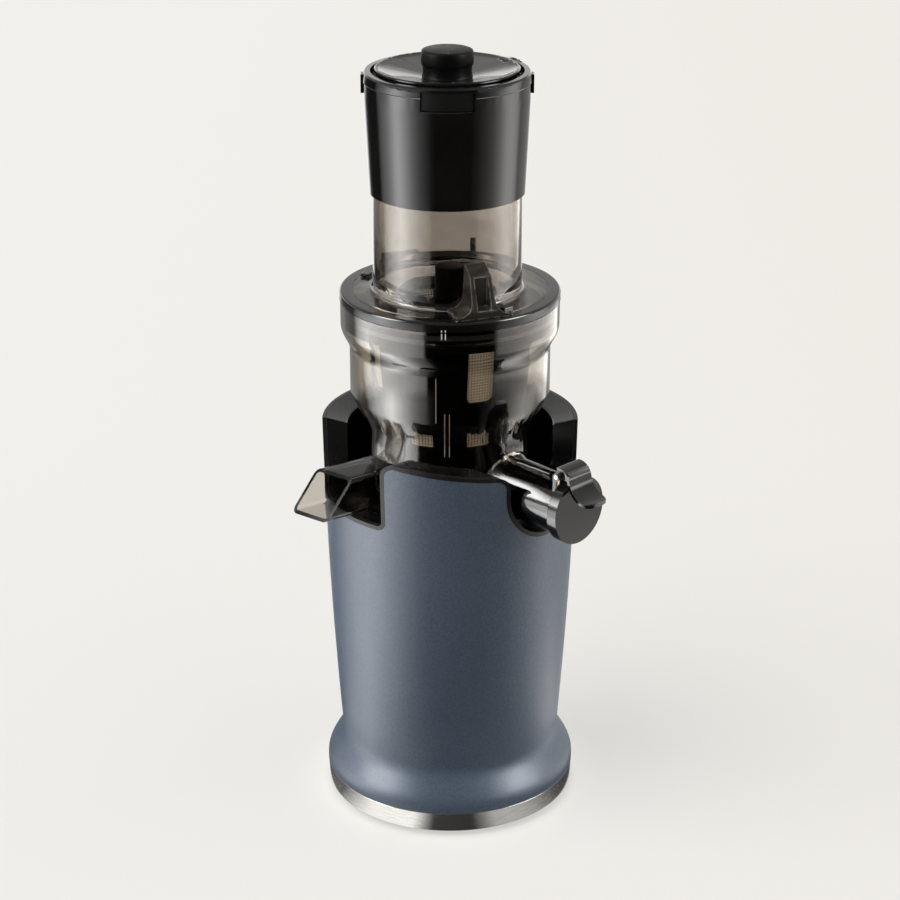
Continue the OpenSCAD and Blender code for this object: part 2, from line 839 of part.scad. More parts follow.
module gearbox_lid() {
  color("#8d9094")
    difference() {
      union() {
        translate([0, 0, case_top_z])
          linear_extrude(case_lid_t)
            case_outline(0);
        translate([0, 0, case_top_z + case_lid_t - eps])
          cylinder(r = drive_shaft_r + bearing_t + 3, h = bearing_h - 1, $fn = round_fn);
      }
      translate([0, 0, case_top_z + 1.5])
        cylinder(r = drive_shaft_r + bearing_t, h = big, $fn = round_fn);
      translate([0, 0, case_top_z - 1])
        cylinder(r = drive_shaft_r + 1.5, h = big, $fn = round_fn);
      translate([0, centre_distance, case_top_z - 1])
        cylinder(r = layshaft_r + 2, h = big, $fn = small_fn);
      for (p = hanger_points)
        translate([p[0], p[1], case_top_z - 1])
          cylinder(r = screw_r + 0.2, h = big, $fn = small_fn);
    }
}

module gearbox_screws() {
  color("#9a9c9e")
    for (p = hanger_points)
      translate([p[0], p[1], case_top_z])
        cylinder(r = screw_r, h = case_lid_t + 6, $fn = small_fn);
}

module hanger_posts() {
  color("#b9a05a")
    for (p = hanger_points)
      translate([p[0], p[1], case_top_z + case_lid_t])
        difference() {
          cylinder(r = 4, h = deck_z - deck_t - case_top_z - case_lid_t, $fn = 6);
          translate([0, 0, -1])
            cylinder(r = screw_r + 0.02, h = 8, $fn = small_fn);
        }
}

module motor_can() {
  color("#a9acb0")
    translate([0, 0, motor_z])
      difference() {
        cylinder(r = motor_r, h = motor_h, $fn = round_fn);
        translate([0, 0, can_t])
          cylinder(r = motor_r - can_t, h = motor_h - 2 * can_t, $fn = round_fn);
        translate([0, 0, -1])
          cylinder(r = motor_shaft_r + bearing_t - 2, h = big, $fn = small_fn);
      }
}

module stator_core() {
  color("#8a5a3a")
    translate([0, 0, motor_z + 14])
      ring(motor_r - can_t, motor_r - 12, motor_h - 28);
}

module motor_bearings() {
  color("#d0d2d4")
    for (z = [motor_z + can_t, motor_top_z - can_t - bearing_h])
      translate([0, 0, z])
        ring(motor_shaft_r + bearing_t, motor_shaft_r + pin_gap, bearing_h, small_fn);
}

module motor_shaft() {
  color("#c8cacc") {
    translate([0, 0, motor_z - 14])
      cylinder(r = motor_shaft_r, h = stage1_z - motor_z + 14 + eps, $fn = small_fn);
    translate([0, 0, stage1_z])
      gear(motor_teeth, stage1_module, stage1_h + 1, 90);
  }
}

module rotor_core() {
  color("#6e7074")
    translate([0, 0, motor_z + 15])
      ring(motor_r - 12.5, motor_shaft_r, motor_h - 30);
}

module cooling_fan() {
  color("#303234")
    translate([0, 0, motor_z - 12]) {
      ring(9, motor_shaft_r, 9, small_fn);
      for (i = [0:8])
        rotate(40 * i)
          translate([8, -0.8, 0])
            cube([18, 1.6, 9]);
      ring(27, 8, 1.2, small_fn);
    }
}

module layshaft() {
  color("#c8cacc")
    translate([0, centre_distance, case_z + 0.3])
      cylinder(r = layshaft_r, h = case_top_z + case_lid_t - case_z, $fn = small_fn);
}

module layshaft_bushes() {
  color("#b08d57")
    for (z = [case_z, case_top_z])
      translate([0, centre_distance, z])
        ring(layshaft_r + 2, layshaft_r + pin_gap, case_floor_t, small_fn);
}

module layshaft_gear() {
  color("#e8e4d8")
    translate([0, centre_distance, stage1_z + 0.5])
      difference() {
        gear(lay_teeth, stage1_module, stage1_h - 0.5, 3);
        translate([0, 0, -1])
          cylinder(r = layshaft_r, h = big, $fn = small_fn);
      }
}

module layshaft_pinion() {
  color("#c8cacc")
    translate([0, centre_distance, stage1_z + stage1_h])
      difference() {
        union() {
          cylinder(r = layshaft_r + 1.2, h = stage2_z - stage1_z - stage1_h + eps, $fn = small_fn);
          translate([0, 0, stage2_z - stage1_z - stage1_h])
            gear(pinion_teeth, stage2_module, stage2_h, 90);
        }
        translate([0, 0, -1])
          cylinder(r = layshaft_r, h = big, $fn = small_fn);
      }
}

module output_gear() {
  color("#c9b37a")
    translate([0, 0, stage2_z + 0.5])
      difference() {
        gear(out_teeth, stage2_module, stage2_h - 1, 5);
        translate([0, 0, -1])
          cylinder(r = drive_shaft_r, h = big, $fn = small_fn);
      }
}

module drive_shaft() {
  color("#d5d7d9") {
    translate([0, 0, stage2_z + 0.5])
      cylinder(r = drive_shaft_r, h = deck_z + 1 - stage2_z - 0.5, $fn = small_fn);
    translate([0, 0, deck_z + 1 - eps])
      cylinder(r = hex_r(hex_af), h = hex_h, $fn = 6);
  }
}

module output_bearings() {
  color("#d0d2d4")
    for (z = [case_top_z + 1.5, deck_z - deck_t - bearing_h])
      translate([0, 0, z])
        ring(drive_shaft_r + bearing_t, drive_shaft_r + pin_gap, bearing_h);
}

module shaft_seal() {
  color("#b5352b")
    translate([0, 0, deck_z - deck_t])
      ring(deck_bore_r, drive_shaft_r + pin_gap, deck_t);
}

module control_board() {
  color("#2f6b45") {
    translate([-board_w / 2, board_y, plate_top_z])
      cube([board_w, board_t, board_h]);
    for (i = [0:2])
      translate([-board_w / 2 + 6 + 13 * i, board_y + board_t - eps, plate_top_z + 30])
        cube([9, 9, 12 + 8 * i]);
  }
}

module interlock_sensor() {
  color("#3a3d40")
    at_azimuth(180)
      translate([-9, -collar_ir - 2, deck_z - deck_t - 8])
        cube([18, 8, 8]);
}

module switch_bezel() {
  color("#18191a")
    difference() {
      union() {
        translate([-bezel_w / 2, recess_y, bezel_z - bezel_h / 2])
          cube([bezel_w, flange_t, bezel_h]);
        translate([-bezel_w / 2 + 2, recess_y - 18, bezel_z - bezel_h / 2 + 2])
          cube([bezel_w - 4, 18 + eps, bezel_h - 4]);
      }
      translate([-rocker_w / 2 - body_gap, recess_y - 16, bezel_z - bezel_h / 2 + 4])
        cube([rocker_w + 2 * body_gap, big, bezel_h - 8]);
      translate([-bezel_w / 2 + 2.8, rocker_axis_y, bezel_z])
        rotate([0, 90, 0])
          cylinder(r = rocker_pin_r + pin_gap, h = bezel_w - 5.6, $fn = small_fn);
    }
}

module power_rocker() {
  color("#232527")
    translate([0, rocker_axis_y, bezel_z])
      rotate([rocker_tilt, 0, 0]) {
        difference() {
          translate([-rocker_w / 2, 0, 0])
            rotate([0, 90, 0])
              cylinder(r = rocker_r, h = rocker_w, $fn = round_fn);
          translate([-big / 2, -big, -big / 2])
            cube([big, big - rocker_back, big]);
          for (s = [-1, 1])
            translate([-big / 2, 0, 0])
              rotate([s * rocker_tilt, 0, 0])
                translate([0, rocker_front, -big / 2])
                  cube([big, big, big]);
        }
        translate([-bezel_w / 2 + 3, 0, 0])
          rotate([0, 90, 0])
            cylinder(r = rocker_pin_r, h = bezel_w - 6, $fn = small_fn);
      }
}

module power_inlet() {
  color("#141516")
    difference() {
      union() {
        translate([-inlet_w / 2, recess_y, inlet_z - inlet_h / 2])
          cube([inlet_w, flange_t, inlet_h]);
        translate([-inlet_w / 2 + 2, recess_y - 18, inlet_z - inlet_h / 2 + 2])
          cube([inlet_w - 4, 18 + eps, inlet_h - 4]);
      }
      difference() {
        translate([-inlet_w / 2 + 4, recess_y - 14, inlet_z - inlet_h / 2 + 4])
          cube([inlet_w - 8, 30, inlet_h - 8]);
        for (x = [-4, 4])
          translate([x, recess_y - 15, inlet_z])
            rotate([-90, 0, 0])
              cylinder(r = 1.2, h = 11, $fn = small_fn);
      }
    }
}

// Outline of the bowl's outer surface, inset by the wall
function bowl_outline(inset, z_low, z_high) = [
  [bowl_low_r - inset, z_low],
  [bowl_low_r - inset, low_top_z],
  [bowl_up_r - inset, up_low_z],
  [bowl_up_r - inset, up_top_z],
  [bowl_rim_r - inset, rim_low_z],
  [bowl_rim_r - inset, z_high]
];

// Height of the chute's top at distance d from the drive axis
function chute_top_z(d) =
  chute_z + chute_h / cos(chute_fall) - (d - bowl_low_r) * tan(chute_fall);

// The chute from distance d0 outwards, grown by -inset, cut off at its slanted mouth
module chute_body(inset, d0) {
  at_azimuth(chute_az)
    difference() {
      translate([chute_front - chute_w / 2, -bowl_low_r, chute_z])
        rotate([chute_fall, 0, 0])
          outwards(d0 - bowl_low_r, chute_reach)
            translate([0, inset])
              round_rect(chute_w - 2 * inset, chute_h - 2 * inset, chute_corner_r - inset);
      translate([chute_front, -chute_reach, chute_top_z(chute_reach)])
        rotate([-mouth_pitch, 0, 0])
          rotate([0, 0, mouth_yaw])
            translate([-big / 2, -big, -big / 2])
              cube([big, big, big]);
    }
}

module along_spout(d) {
  at_azimuth(spout_az)
    translate([0, -d, spout_z])
      rotate([90, 0, 0])
        children();
}

module bowl_solid() {
  rotate_extrude($fn = round_fn)
    polygon(concat(bowl_outline(0, bowl_z, bowl_top_z), [[0, bowl_top_z], [0, bowl_z]]));
  along_spout(30)
    cylinder(r = spout_r, h = spout_reach - 30, $fn = round_fn);
  along_spout(bowl_low_r - 12)
    cylinder(r1 = spout_root_r, r2 = spout_r, h = 20, $fn = round_fn);
  along_spout(spout_reach - spout_ring_w)
    cylinder(r = spout_r + spout_ring_t, h = spout_ring_w, $fn = round_fn);
  chute_body(0, 40);
  cap_hinge_ears();
}

// Two ears beside the spout's mouth that carry the cap's pin
module cap_hinge_ears() {
  at_azimuth(spout_az)
    for (s = [-1, 1])
      difference() {
        translate([s * (lever_w / 2 + body_gap + ear_t / 2) - ear_t / 2, -cap_pin_d, 0]) {
          translate([0, -ear_foot_d, spout_z + spout_r / 2])
            cube([ear_t, ear_foot_d + knuckle_r, cap_pin_rise - spout_r / 2]);
          translate([0, 0, cap_pin_z])
            rotate([0, 90, 0])
              cylinder(r = knuckle_r, h = ear_t, $fn = small_fn);
        }
        translate([-big / 2, -cap_pin_d, cap_pin_z])
          rotate([0, 90, 0])
            cylinder(r = cap_pin_r, h = big, $fn = small_fn);
      }
}

module bowl() {
  color("#6b6257", 0.5) {
    difference() {
      bowl_solid();
      rotate_extrude($fn = round_fn)
        polygon(concat(
          bowl_outline(bowl_t, bowl_in_z, bowl_top_z + 1),
          [[0, bowl_top_z + 1], [0, bowl_in_z]]
        ));
      along_spout(bowl_low_r - 8)
        cylinder(r = spout_r - spout_t, h = big, $fn = round_fn);
      chute_body(chute_t, 40);
      translate([0, 0, bowl_z - 1])
        cylinder(r = hub_bore_r, h = 10, $fn = round_fn);
    }
    translate([0, 0, bowl_in_z - eps])
      ring(hub_r, hub_bore_r, hub_h);
  }
}

// The round rib along the top of the spout, on the side towards the front panel
module spout_rod() {
  color("#6b6257", 0.5)
    difference() {
      at_azimuth(spout_az)
        translate([-rod_lateral, -bowl_low_r + 1, spout_z + rod_rise])
          rotate([90, 0, 0])
            cylinder(r = rod_r, h = spout_reach - cap_depth - bowl_low_r - 8, $fn = small_fn);
      along_spout(0)
        cylinder(r = spout_r, h = big, $fn = round_fn);
      along_spout(bowl_low_r - 12)
        cylinder(r1 = spout_root_r, r2 = spout_r, h = 20, $fn = round_fn);
      translate([0, 0, bowl_z])
        cylinder(r = bowl_low_r, h = bowl_low_h, $fn = round_fn);
    }
}

module hub_gasket() {
  color("#b5352b")
    translate([0, 0, bowl_in_z + hub_h - gasket_h])
      ring(hub_bore_r, hex_r(hex_af) + 0.35, gasket_h);
}

// The duct that leads the pulp from the strainer to the chute, grown by g
module pulp_port(g, d0, d1) {
  at_azimuth(chute_az)
    translate([chute_front - chute_w / 2, 0, port_z])
      outwards(d0, d1)
        translate([-port_w / 2 - g, -g])
          square([port_w + 2 * g, port_h + 2 * g]);
}

module pulp_seal() {
  color("#b5352b")
    intersection() {
      difference() {
        pulp_port(port_t + seal_lip, bowl_low_r - 18, bowl_low_r);
        pulp_port(port_t, 0, big);
      }
      difference() {
        cylinder(r = bowl_low_r - bowl_t, h = big, $fn = round_fn);
        translate([0, 0, -1])
          cylinder(r = bowl_low_r - bowl_t - 1.5, h = big + 2, $fn = round_fn);
      }
    }
}

function strainer_points(inset, z0, z1) =
  [for (i = [0:8]) let (z = z0 + (z1 - z0) * i / 8) [strainer_r(z) - inset, z]];

module strainer_frame() {
  color("#1a1b1c")
    difference() {
      union() {
        rotate_extrude($fn = round_fn)
          polygon(concat(
            strainer_points(0, strainer_z, strainer_top_z),
            reversed(strainer_points(strainer_t, strainer_z, strainer_top_z))
          ));
        translate([0, 0, bowl_in_z])
          ring(strainer_low_r, strainer_low_r - strainer_t, strainer_lift + 1);
        translate([0, 0, strainer_z - 1])
          ring(strainer_low_r, auger_foot_r - 4, 3);
        translate([0, 0, strainer_top_z - flange_h])
          ring(bowl_rim_r - bowl_t - 0.2, strainer_r(strainer_top_z - flange_h) - 1, flange_h);
        intersection() {
          difference() {
            pulp_port(port_t, strainer_low_r - strainer_t, bowl_low_r);
            pulp_port(0, 0, big);
          }
          cylinder(r = bowl_low_r - bowl_t, h = big, $fn = round_fn);
        }
      }
      pulp_port(0, strainer_low_r - 10, strainer_low_r + 6);
      for (i = [0:window_count - 1])
        at_azimuth(360 * (i + 0.5) / window_count)
          outwards(20, 80) {
            translate([-window_low_w / 2, bowl_z + window_low_rise])
              square([window_low_w, window_low_h]);
            if (i % 2 == 0)
              translate([0, bowl_z + window_up_rise])
                tall_window();
          }
    }
}

// A window with a round sill
module tall_window() {
  translate([-window_up_w / 2, window_up_w / 4])
    square([window_up_w, window_up_h - window_up_w / 4]);
  translate([-window_up_w / 4, 0])
    square([window_up_w / 2, window_up_w / 2]);
  for (s = [-1, 1])
    translate([s * window_up_w / 4, window_up_w / 4])
      circle(r = window_up_w / 4, $fn = small_fn);
}

module strainer_mesh() {
  color("#b8a684")
    difference() {
      intersection() {
        rotate_extrude($fn = round_fn)
          polygon(concat(
            strainer_points(strainer_t + fit_gap, strainer_z, strainer_top_z),
            reversed(strainer_points(strainer_t + fit_gap + mesh_t, strainer_z, strainer_top_z))
          ));
        translate([0, 0, strainer_z + mesh_rise])
          cylinder(r = bowl_rim_r, h = strainer_top_z - mesh_drop - strainer_z - mesh_rise);
      }
      pulp_port(port_t + fit_gap, 0, big);
    }
}

module auger_core() {
  rotate_extrude($fn = round_fn)
    polygon([
      [hub_r + 1, auger_z],
      [auger_foot_r, auger_z],
      [auger_foot_r, auger_z + 12],
      [auger_foot_r - 6, auger_z + 45],
      [auger_shoulder_r + 2, auger_shoulder_z],
      [auger_shoulder_r - 2, auger_shoulder_z + 12],
      [auger_boss_r, auger_shoulder_z + 18],
      [auger_boss_r, auger_top_z - 1],
      [auger_boss_r - 1, auger_top_z],
      [0, auger_top_z],
      [0, auger_z + hub_h],
      [hub_r + 1, auger_z + hub_h]
    ]);
}

module auger() {
  color("#2c2a27")
    difference() {
      union() {
        auger_core();
        translate([0, 0, auger_z + 1])
          linear_extrude(
            auger_shoulder_z - auger_z - 4,
            twist = -360 * flight_turns,
            slices = round(40 * flight_turns),
            scale = flight_top_r / flight_low_r
          )
            flight_section();
      }
      translate([0, 0, auger_z])
        cylinder(r = hex_r(hex_af) + 2.4, h = hex_socket_h(), $fn = small_fn);
      translate([0, 0, auger_z - 1])
        cylinder(r = hub_r + 1, h = hub_h + 1, $fn = round_fn);
    }
}

function hex_socket_h() = deck_z + 1 + hex_h - auger_z + 3;

module flight_section() {
  polygon([
    [auger_shoulder_r - 5, 0],
    for (i = [0:3]) flight_low_r * [cos(flight_arc * i / 3), sin(flight_arc * i / 3)],
    (auger_shoulder_r - 5) * [cos(flight_arc), sin(flight_arc)]
  ]);
}

module auger_socket() {
  color("#c8cacc")
    translate([0, 0, auger_z + hub_h])
      difference() {
        cylinder(r = hex_r(hex_af) + 2.4, h = hex_socket_h() - hub_h, $fn = small_fn);
        translate([0, 0, -1])
          cylinder(r = hex_r(hex_af + 2 * hex_gap), h = big, $fn = 6);
      }
}

module cap_hinge_pin() {
  color("#c8cacc")
    at_azimuth(spout_az)
      translate([-lever_w / 2 - body_gap - ear_t, -cap_pin_d, cap_pin_z])
        rotate([0, 90, 0])
          cylinder(r = cap_pin_r, h = lever_w + 2 * (body_gap + ear_t), $fn = small_fn);
}

function arc_points(centre, r, a0, a1, steps) =
  [for (i = [0:steps]) let (a = a0 + (a1 - a0) * i / steps) centre + r * [cos(a), sin(a)]];

// Side view of the lever: x is the distance beyond the pin, y the height above it
module lever_profile() {
  bend = [lever_bend_x, knuckle_r + 0.8 + lever_t - lever_bend_r];
  hollow = bend + (lever_bend_r + lever_hollow_r) * [cos(lever_turn), sin(lever_turn)];
  polygon(concat(
    arc_points(bend, lever_bend_r, lever_start, lever_turn, lever_steps),
    arc_points(hollow, lever_hollow_r, 180 + lever_turn, lever_end, lever_steps),
    arc_points(hollow, lever_hollow_r + lever_t, lever_end, 180 + lever_turn, lever_steps),
    arc_points(bend, lever_bend_r - lever_t, lever_turn, lever_start, lever_steps)
  ));
}

// What the two round corners at the lever's tip take away, seen from above
module lever_corners() {
  arc = [for (a = [0:18:90]) lever_corner_r * [sin(a) - 1, 1 - cos(a)]];
  for (s = [-1, 1])
    polygon([
      for (p = arc) [s * (lever_w / 2 + p[0]), p[1] - lever_tip_d],
      [s * (lever_w / 2 + 1), lever_corner_r - lever_tip_d],
      [s * (lever_w / 2 + 1), -lever_tip_d - 1],
      [s * (lever_w / 2 - lever_corner_r), -lever_tip_d - 1]
    ]);
}

module juice_cap() {
  color("#161718")
    difference() {
      union() {
        along_spout(cap_face_d - cap_depth)
          difference() {
            cylinder(r = cap_in_r + cap_t, h = cap_depth, $fn = round_fn);
            translate([0, 0, -eps])
              cylinder(r = cap_in_r, h = cap_depth - cap_face_t + eps, $fn = round_fn);
          }
        at_azimuth(spout_az)
          difference() {
            translate([-lever_w / 2, -cap_pin_d, cap_pin_z])
              rotate([90, 0, -90])
                mirror([0, 0, 1])
                  linear_extrude(lever_w)
                    lever_profile();
            linear_extrude(big * 2)
              lever_corners();
          }
        at_azimuth(spout_az)
          translate([-lever_w / 2, -cap_pin_d, cap_pin_z])
            rotate([0, 90, 0])
              cylinder(r = knuckle_r, h = lever_w, $fn = small_fn);
        at_azimuth(spout_az)
          translate([1 - lever_w / 2, -cap_face_d + cap_face_t / 2, cap_pin_z - knuckle_r + 0.3])
            cube([lever_w - 2, cap_face_d - cap_face_t / 2 - cap_pin_d, 2 * knuckle_r + 0.6]);
      }
      at_azimuth(spout_az)
        translate([-big / 2, -cap_pin_d, cap_pin_z])
          rotate([0, 90, 0])
            cylinder(r = cap_pin_r + pin_gap, h = big, $fn = small_fn);
    }
}

module cap_seal() {
  color("#2a2a2a")
    along_spout(spout_reach + body_gap)
      ring(spout_r + spout_ring_t, spout_r - spout_t - 1, cap_seal_t);
}

module at_tube() {
  translate([tube_dx, 0, 0])
    children();
}

// The fillet where the tube stands on the lid, as points from the foot upwards
function foot_points() =
  [for (i = [0:6]) let (a = 270 - 15 * i)
    [tube_r + foot_fillet * (1 + cos(a)), ring_top_z + foot_fillet * (1 + sin(a))]];

module bowl_lid() {
  color("#8a8278", 0.45)
    difference() {
      union() {
        translate([0, 0, ring_z])
          cylinder(r = ring_ir, h = ring_h, $fn = round_fn);
        translate([0, 0, ring_z - skirt_h])
          cylinder(r = skirt_r, h = skirt_h + ring_h - lid_t, $fn = round_fn);
        at_tube()
          rotate_extrude($fn = round_fn)
            polygon(concat(
              [[0, ring_top_z - eps], [tube_r + foot_fillet, ring_top_z - eps]],
              foot_points(),
              [[tube_r, hopper_z + tube_lap], [0, hopper_z + tube_lap]]
            ));
      }
      at_tube() {
        translate([0, 0, ring_top_z + funnel_h])
          cylinder(r = tube_r - tube_t, h = big, $fn = round_fn);
        translate([0, 0, lid_plate_z])
          cylinder(r1 = feed_r, r2 = tube_r - tube_t, h = lid_t + funnel_h + eps, $fn = round_fn);
        translate([0, 0, ring_z - skirt_h - 1])
          cylinder(r = feed_r, h = skirt_h + ring_h + 2, $fn = round_fn);
      }
      translate([0, 0, ring_z - skirt_h - 1])
        cylinder(r = skirt_r - skirt_t, h = skirt_h + 1, $fn = round_fn);
      translate([0, 0, ring_z - 1])
        cylinder(r = ring_ir - skirt_t, h = 1 + lid_plate_z - ring_z, $fn = round_fn);
      translate([0, 0, seal_z])
        ring(skirt_r + 1, skirt_r - seal_d, seal_h);
    }
}

module lid_seal() {
  color("#b5352b")
    translate([0, 0, seal_z])
      ring(skirt_r + skirt_gap - 0.1, skirt_r - seal_d, seal_h);
}

module lid_ring() {
  color("#202123")
    rotate_extrude($fn = round_fn)
      polygon([
        [skirt_r, ring_z],
        [ring_r, ring_z],
        [ring_r, ring_top_z - 1],
        [ring_r - 1, ring_top_z],
        [ring_ir, ring_top_z],
        [ring_ir, lid_plate_z],
        [skirt_r, lid_plate_z]
      ]);
}

// Front view of the grip: straight sides that curve out to a wide foot
module grip_front(inset) {
  foot = (grip_w - grip_top_w) / 2 - 2;
  difference() {
    translate([-grip_w / 2 + inset, 0])
      square([grip_w - 2 * inset, grip_h - inset]);
    for (s = [-1, 1])
      translate([s * (grip_top_w / 2 + foot + 1 - inset), foot * 1.1 + 1])
        circle(r = foot, $fn = round_fn);
    for (s = [-1, 1])
      mirror([s < 0 ? 1 : 0, 0])
        translate([grip_top_w / 2 + 1 - inset, foot * 1.1 + 1])
          rotate(atan(1 / (grip_h - foot * 1.1 - 1)))
            square([grip_w, grip_h]);
  }
}

// Side view of the grip: x runs outwards from the tube, y upwards
module grip_side(inset) {
  polygon([
    [0, 0],
    [grip_d - inset, 0],
    [grip_d - inset, 5],
    [grip_d * 0.58 - inset, grip_h - 6 - inset / 2],
    [0, grip_h - inset / 2]
  ]);
}

module lid_grip() {
  color("#8a8278", 0.45)
    at_azimuth(grip_az)
      difference() {
        intersection() {
          outwards(tube_r - 8, tube_r + grip_d)
            translate([0, ring_top_z])
              grip_front(0);
          translate([-grip_w / 2, -tube_r - grip_inset, ring_top_z])
            rotate([90, 0, -90])
              mirror([0, 0, 1])
                linear_extrude(grip_w)
                  grip_side(0);
        }
        outwards(tube_r + grip_d / 2, tube_r + grip_d + 10)
          translate([-grip_top_w / 2 + grip_t, ring_top_z + 5])
            square([grip_top_w - 2 * grip_t, grip_h - 5 - 3 * grip_t]);
        at_azimuth(-grip_az)
          at_tube()
            rotate_extrude($fn = round_fn)
              polygon(concat(
                [[0, ring_z], [tube_r + foot_fillet + fit_gap, ring_z]],
                [for (p = foot_points()) p + [fit_gap, 0]],
                [[tube_r + fit_gap, rim_z], [0, rim_z]]
              ));
      }
}

// The hopper's outer line, from its lower edge to its rim
hopper_line = [
  [hopper_low_r, hopper_z],
  [hopper_rim_r, rim_z - hopper_band_h],
  [hopper_rim_r, rim_z - rim_seam_drop - 0.5],
  [hopper_rim_r + 0.4, rim_z - rim_seam_drop],
  [hopper_rim_r, rim_z - 1],
  [hopper_rim_r - 1, rim_z]
];

module hopper_outside() {
  rotate_extrude($fn = 4 * round_fn)
    polygon(concat(hopper_line, [[0, rim_z], [0, hopper_z]]));
}

module hopper() {
  color("#131415")
    difference() {
      at_tube()
        rotate_extrude($fn = round_fn)
          polygon(concat(hopper_line, [
            [hopper_rim_r - rim_t, rim_z],
            [hopper_rim_r - rim_t, rim_z - rim_seam_drop],
            [tube_r - tube_t, rim_z - rim_seam_drop - 8],
            [tube_r - tube_t, hopper_z + tube_lap],
            [tube_r, hopper_z + tube_lap],
            [tube_r, hopper_z]
          ]));
      latch_sector(hopper_rim_r + 5, latch_r - latch_t - latch_travel - body_gap, 0.4);
      latch_stems(
        latch_stem_r + pin_gap,
        latch_r - latch_t - latch_stem_len - latch_travel - 0.2,
        hopper_rim_r
      );
      at_tube()
        at_azimuth(hop_hinge_az)
          hinge_notch();
    }
}

// The part of the hopper's wall between two radii that lies behind the front latch, grown by g
module latch_sector(ro, ri, g) {
  at_tube()
    intersection() {
      translate([0, 0, latch_z - g])
        ring(ro, ri, latch_h + 2 * g);
      translate([-latch_w / 2 - g, -big, 0])
        cube([latch_w + 2 * g, big, big * 2]);
    }
}

// Two stems behind the latch, from distance d0 to d1 in front of the tube's axis
module latch_stems(r, d0, d1) {
  at_tube()
    for (s = [-1, 1])
      translate([s * latch_w / 4, -d0, latch_z + latch_stem_rise])
        rotate([90, 0, 0])
          cylinder(r = r, h = d1 - d0, $fn = small_fn);
}

module hopper_latch() {
  color("#0f1011") {
    latch_sector(latch_r, latch_r - latch_t, 0);
    latch_stems(latch_stem_r, latch_r - latch_t - latch_stem_len, latch_r - latch_t / 2 - 0.6);
  }
}

module hinge_notch() {
  w = hop_arm_w + 2 * body_gap;
  translate([-w / 2, -hop_pin_d - hop_arm_r - 2, hop_pin_z - hop_arm_r - body_gap])
    cube([w, rim_t + 4, big]);
  translate([-w / 2 - 2, -hop_pin_d, hop_pin_z])
    rotate([0, 90, 0])
      cylinder(r = hop_pin_r, h = w + 4, $fn = small_fn);
}

module hopper_hinge_pin() {
  color("#c8cacc")
    at_tube()
      at_azimuth(hop_hinge_az)
        translate([-hop_arm_w / 2 - body_gap - 2, -hop_pin_d, hop_pin_z])
          rotate([0, 90, 0])
            cylinder(r = hop_pin_r, h = hop_arm_w + 2 * body_gap + 4, $fn = small_fn);
}

module side_clips() {
  color("#0f1011")
    at_tube()
      for (s = [-1, 1])
        difference() {
          translate([s * (hopper_rim_r + clip_t / 2) - clip_t / 2 - 0.5, -4, rim_z - 2 - clip_h])
            cube([clip_t + 1, 8, clip_h]);
          hopper_outside();
        }
}

module hopper_lid() {
  color("#131415")
    at_tube()
      difference() {
        union() {
          rotate_extrude($fn = round_fn)
            polygon([
              [0, knob_z - hop_lid_t],
              [neck_r, knob_z - hop_lid_t],
              [hop_lid_r - 3, lid_top_z - hop_lid_t],
              [hop_lid_r, lid_top_z - hop_lid_t],
              [hop_lid_r, lid_top_z - 0.6],
              [hop_lid_r - 0.6, lid_top_z],
              [hop_lid_r - 1.6, lid_top_z],
              [hop_lid_r - 2.2, lid_top_z - 0.5],
              [neck_r + 0.4, knob_z],
              [0, knob_z]
            ]);
          at_azimuth(hop_hinge_az) {
            translate([-hop_arm_w / 2, -hop_pin_d, lid_top_z - hop_lid_t])
              cube([hop_arm_w, hop_pin_d - hop_lid_r + 3, hop_lid_t - 0.6]);
            translate([-hop_arm_w / 2, -hop_pin_d, hop_pin_z])
              rotate([0, 90, 0])
                cylinder(r = hop_arm_r, h = hop_arm_w, $fn = small_fn);
          }
        }
        at_azimuth(hop_hinge_az)
          translate([-hop_arm_w, -hop_pin_d, hop_pin_z])
            rotate([0, 90, 0])
              cylinder(r = hop_pin_r + pin_gap, h = 2 * hop_arm_w, $fn = small_fn);
        translate([0, 0, knob_z - hop_lid_t - 1])
          cylinder(r = screw_r, h = hop_lid_t + 2, $fn = small_fn);
      }
}

module lid_knob() {
  color("#1b1b1c")
    at_tube()
      difference() {
        rotate_extrude($fn = round_fn)
          polygon([
            [0, knob_z],
            [neck_r, knob_z],
            [neck_r - 0.5, knob_z + 1.2],
            [neck_r - 0.7, knob_z + neck_h / 2],
            [neck_r - 0.5, knob_z + neck_h],
            [knob_r - 0.5, knob_z + neck_h],
            [knob_r - 0.2, knob_z + neck_h + 0.4],
            [knob_r, knob_z + neck_h + 2],
            [knob_r, knob_top_z - 1.8],
            [knob_r - 0.5, knob_top_z - 0.5],
            [knob_r - 1.8, knob_top_z],
            [0, knob_top_z - 0.3]
          ]);
        translate([0, 0, knob_z - 1])
          cylinder(r = screw_r, h = 9, $fn = small_fn);
      }
}

module knob_screw() {
  color("#9a9c9e")
    at_tube()
      translate([0, 0, knob_z - hop_lid_t])
        screw(hop_lid_t + 6);
}

base_plate();
base_band();
rubber_feet();
base_screws();
housing_shell();
housing_trim();
bowl_collar();
deck();
deck_screws();
motor_can();
stator_core();
motor_bearings();
motor_shaft();
rotor_core();
cooling_fan();
gearbox_case();
gearbox_lid();
gearbox_screws();
layshaft();
layshaft_gear();
layshaft_pinion();
layshaft_bushes();
output_gear();
drive_shaft();
output_bearings();
shaft_seal();
hanger_posts();
control_board();
interlock_sensor();
switch_bezel();
power_rocker();
power_inlet();
bowl();
spout_rod();
hub_gasket();
pulp_seal();
strainer_frame();
strainer_mesh();
cap_hinge_pin();
juice_cap();
cap_seal();
auger();
auger_socket();
bowl_lid();
lid_ring();
lid_seal();
lid_grip();
hopper();
side_clips();
hopper_hinge_pin();
hopper_lid();
lid_knob();
knob_screw();
hopper_latch();
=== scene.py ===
import json
import math

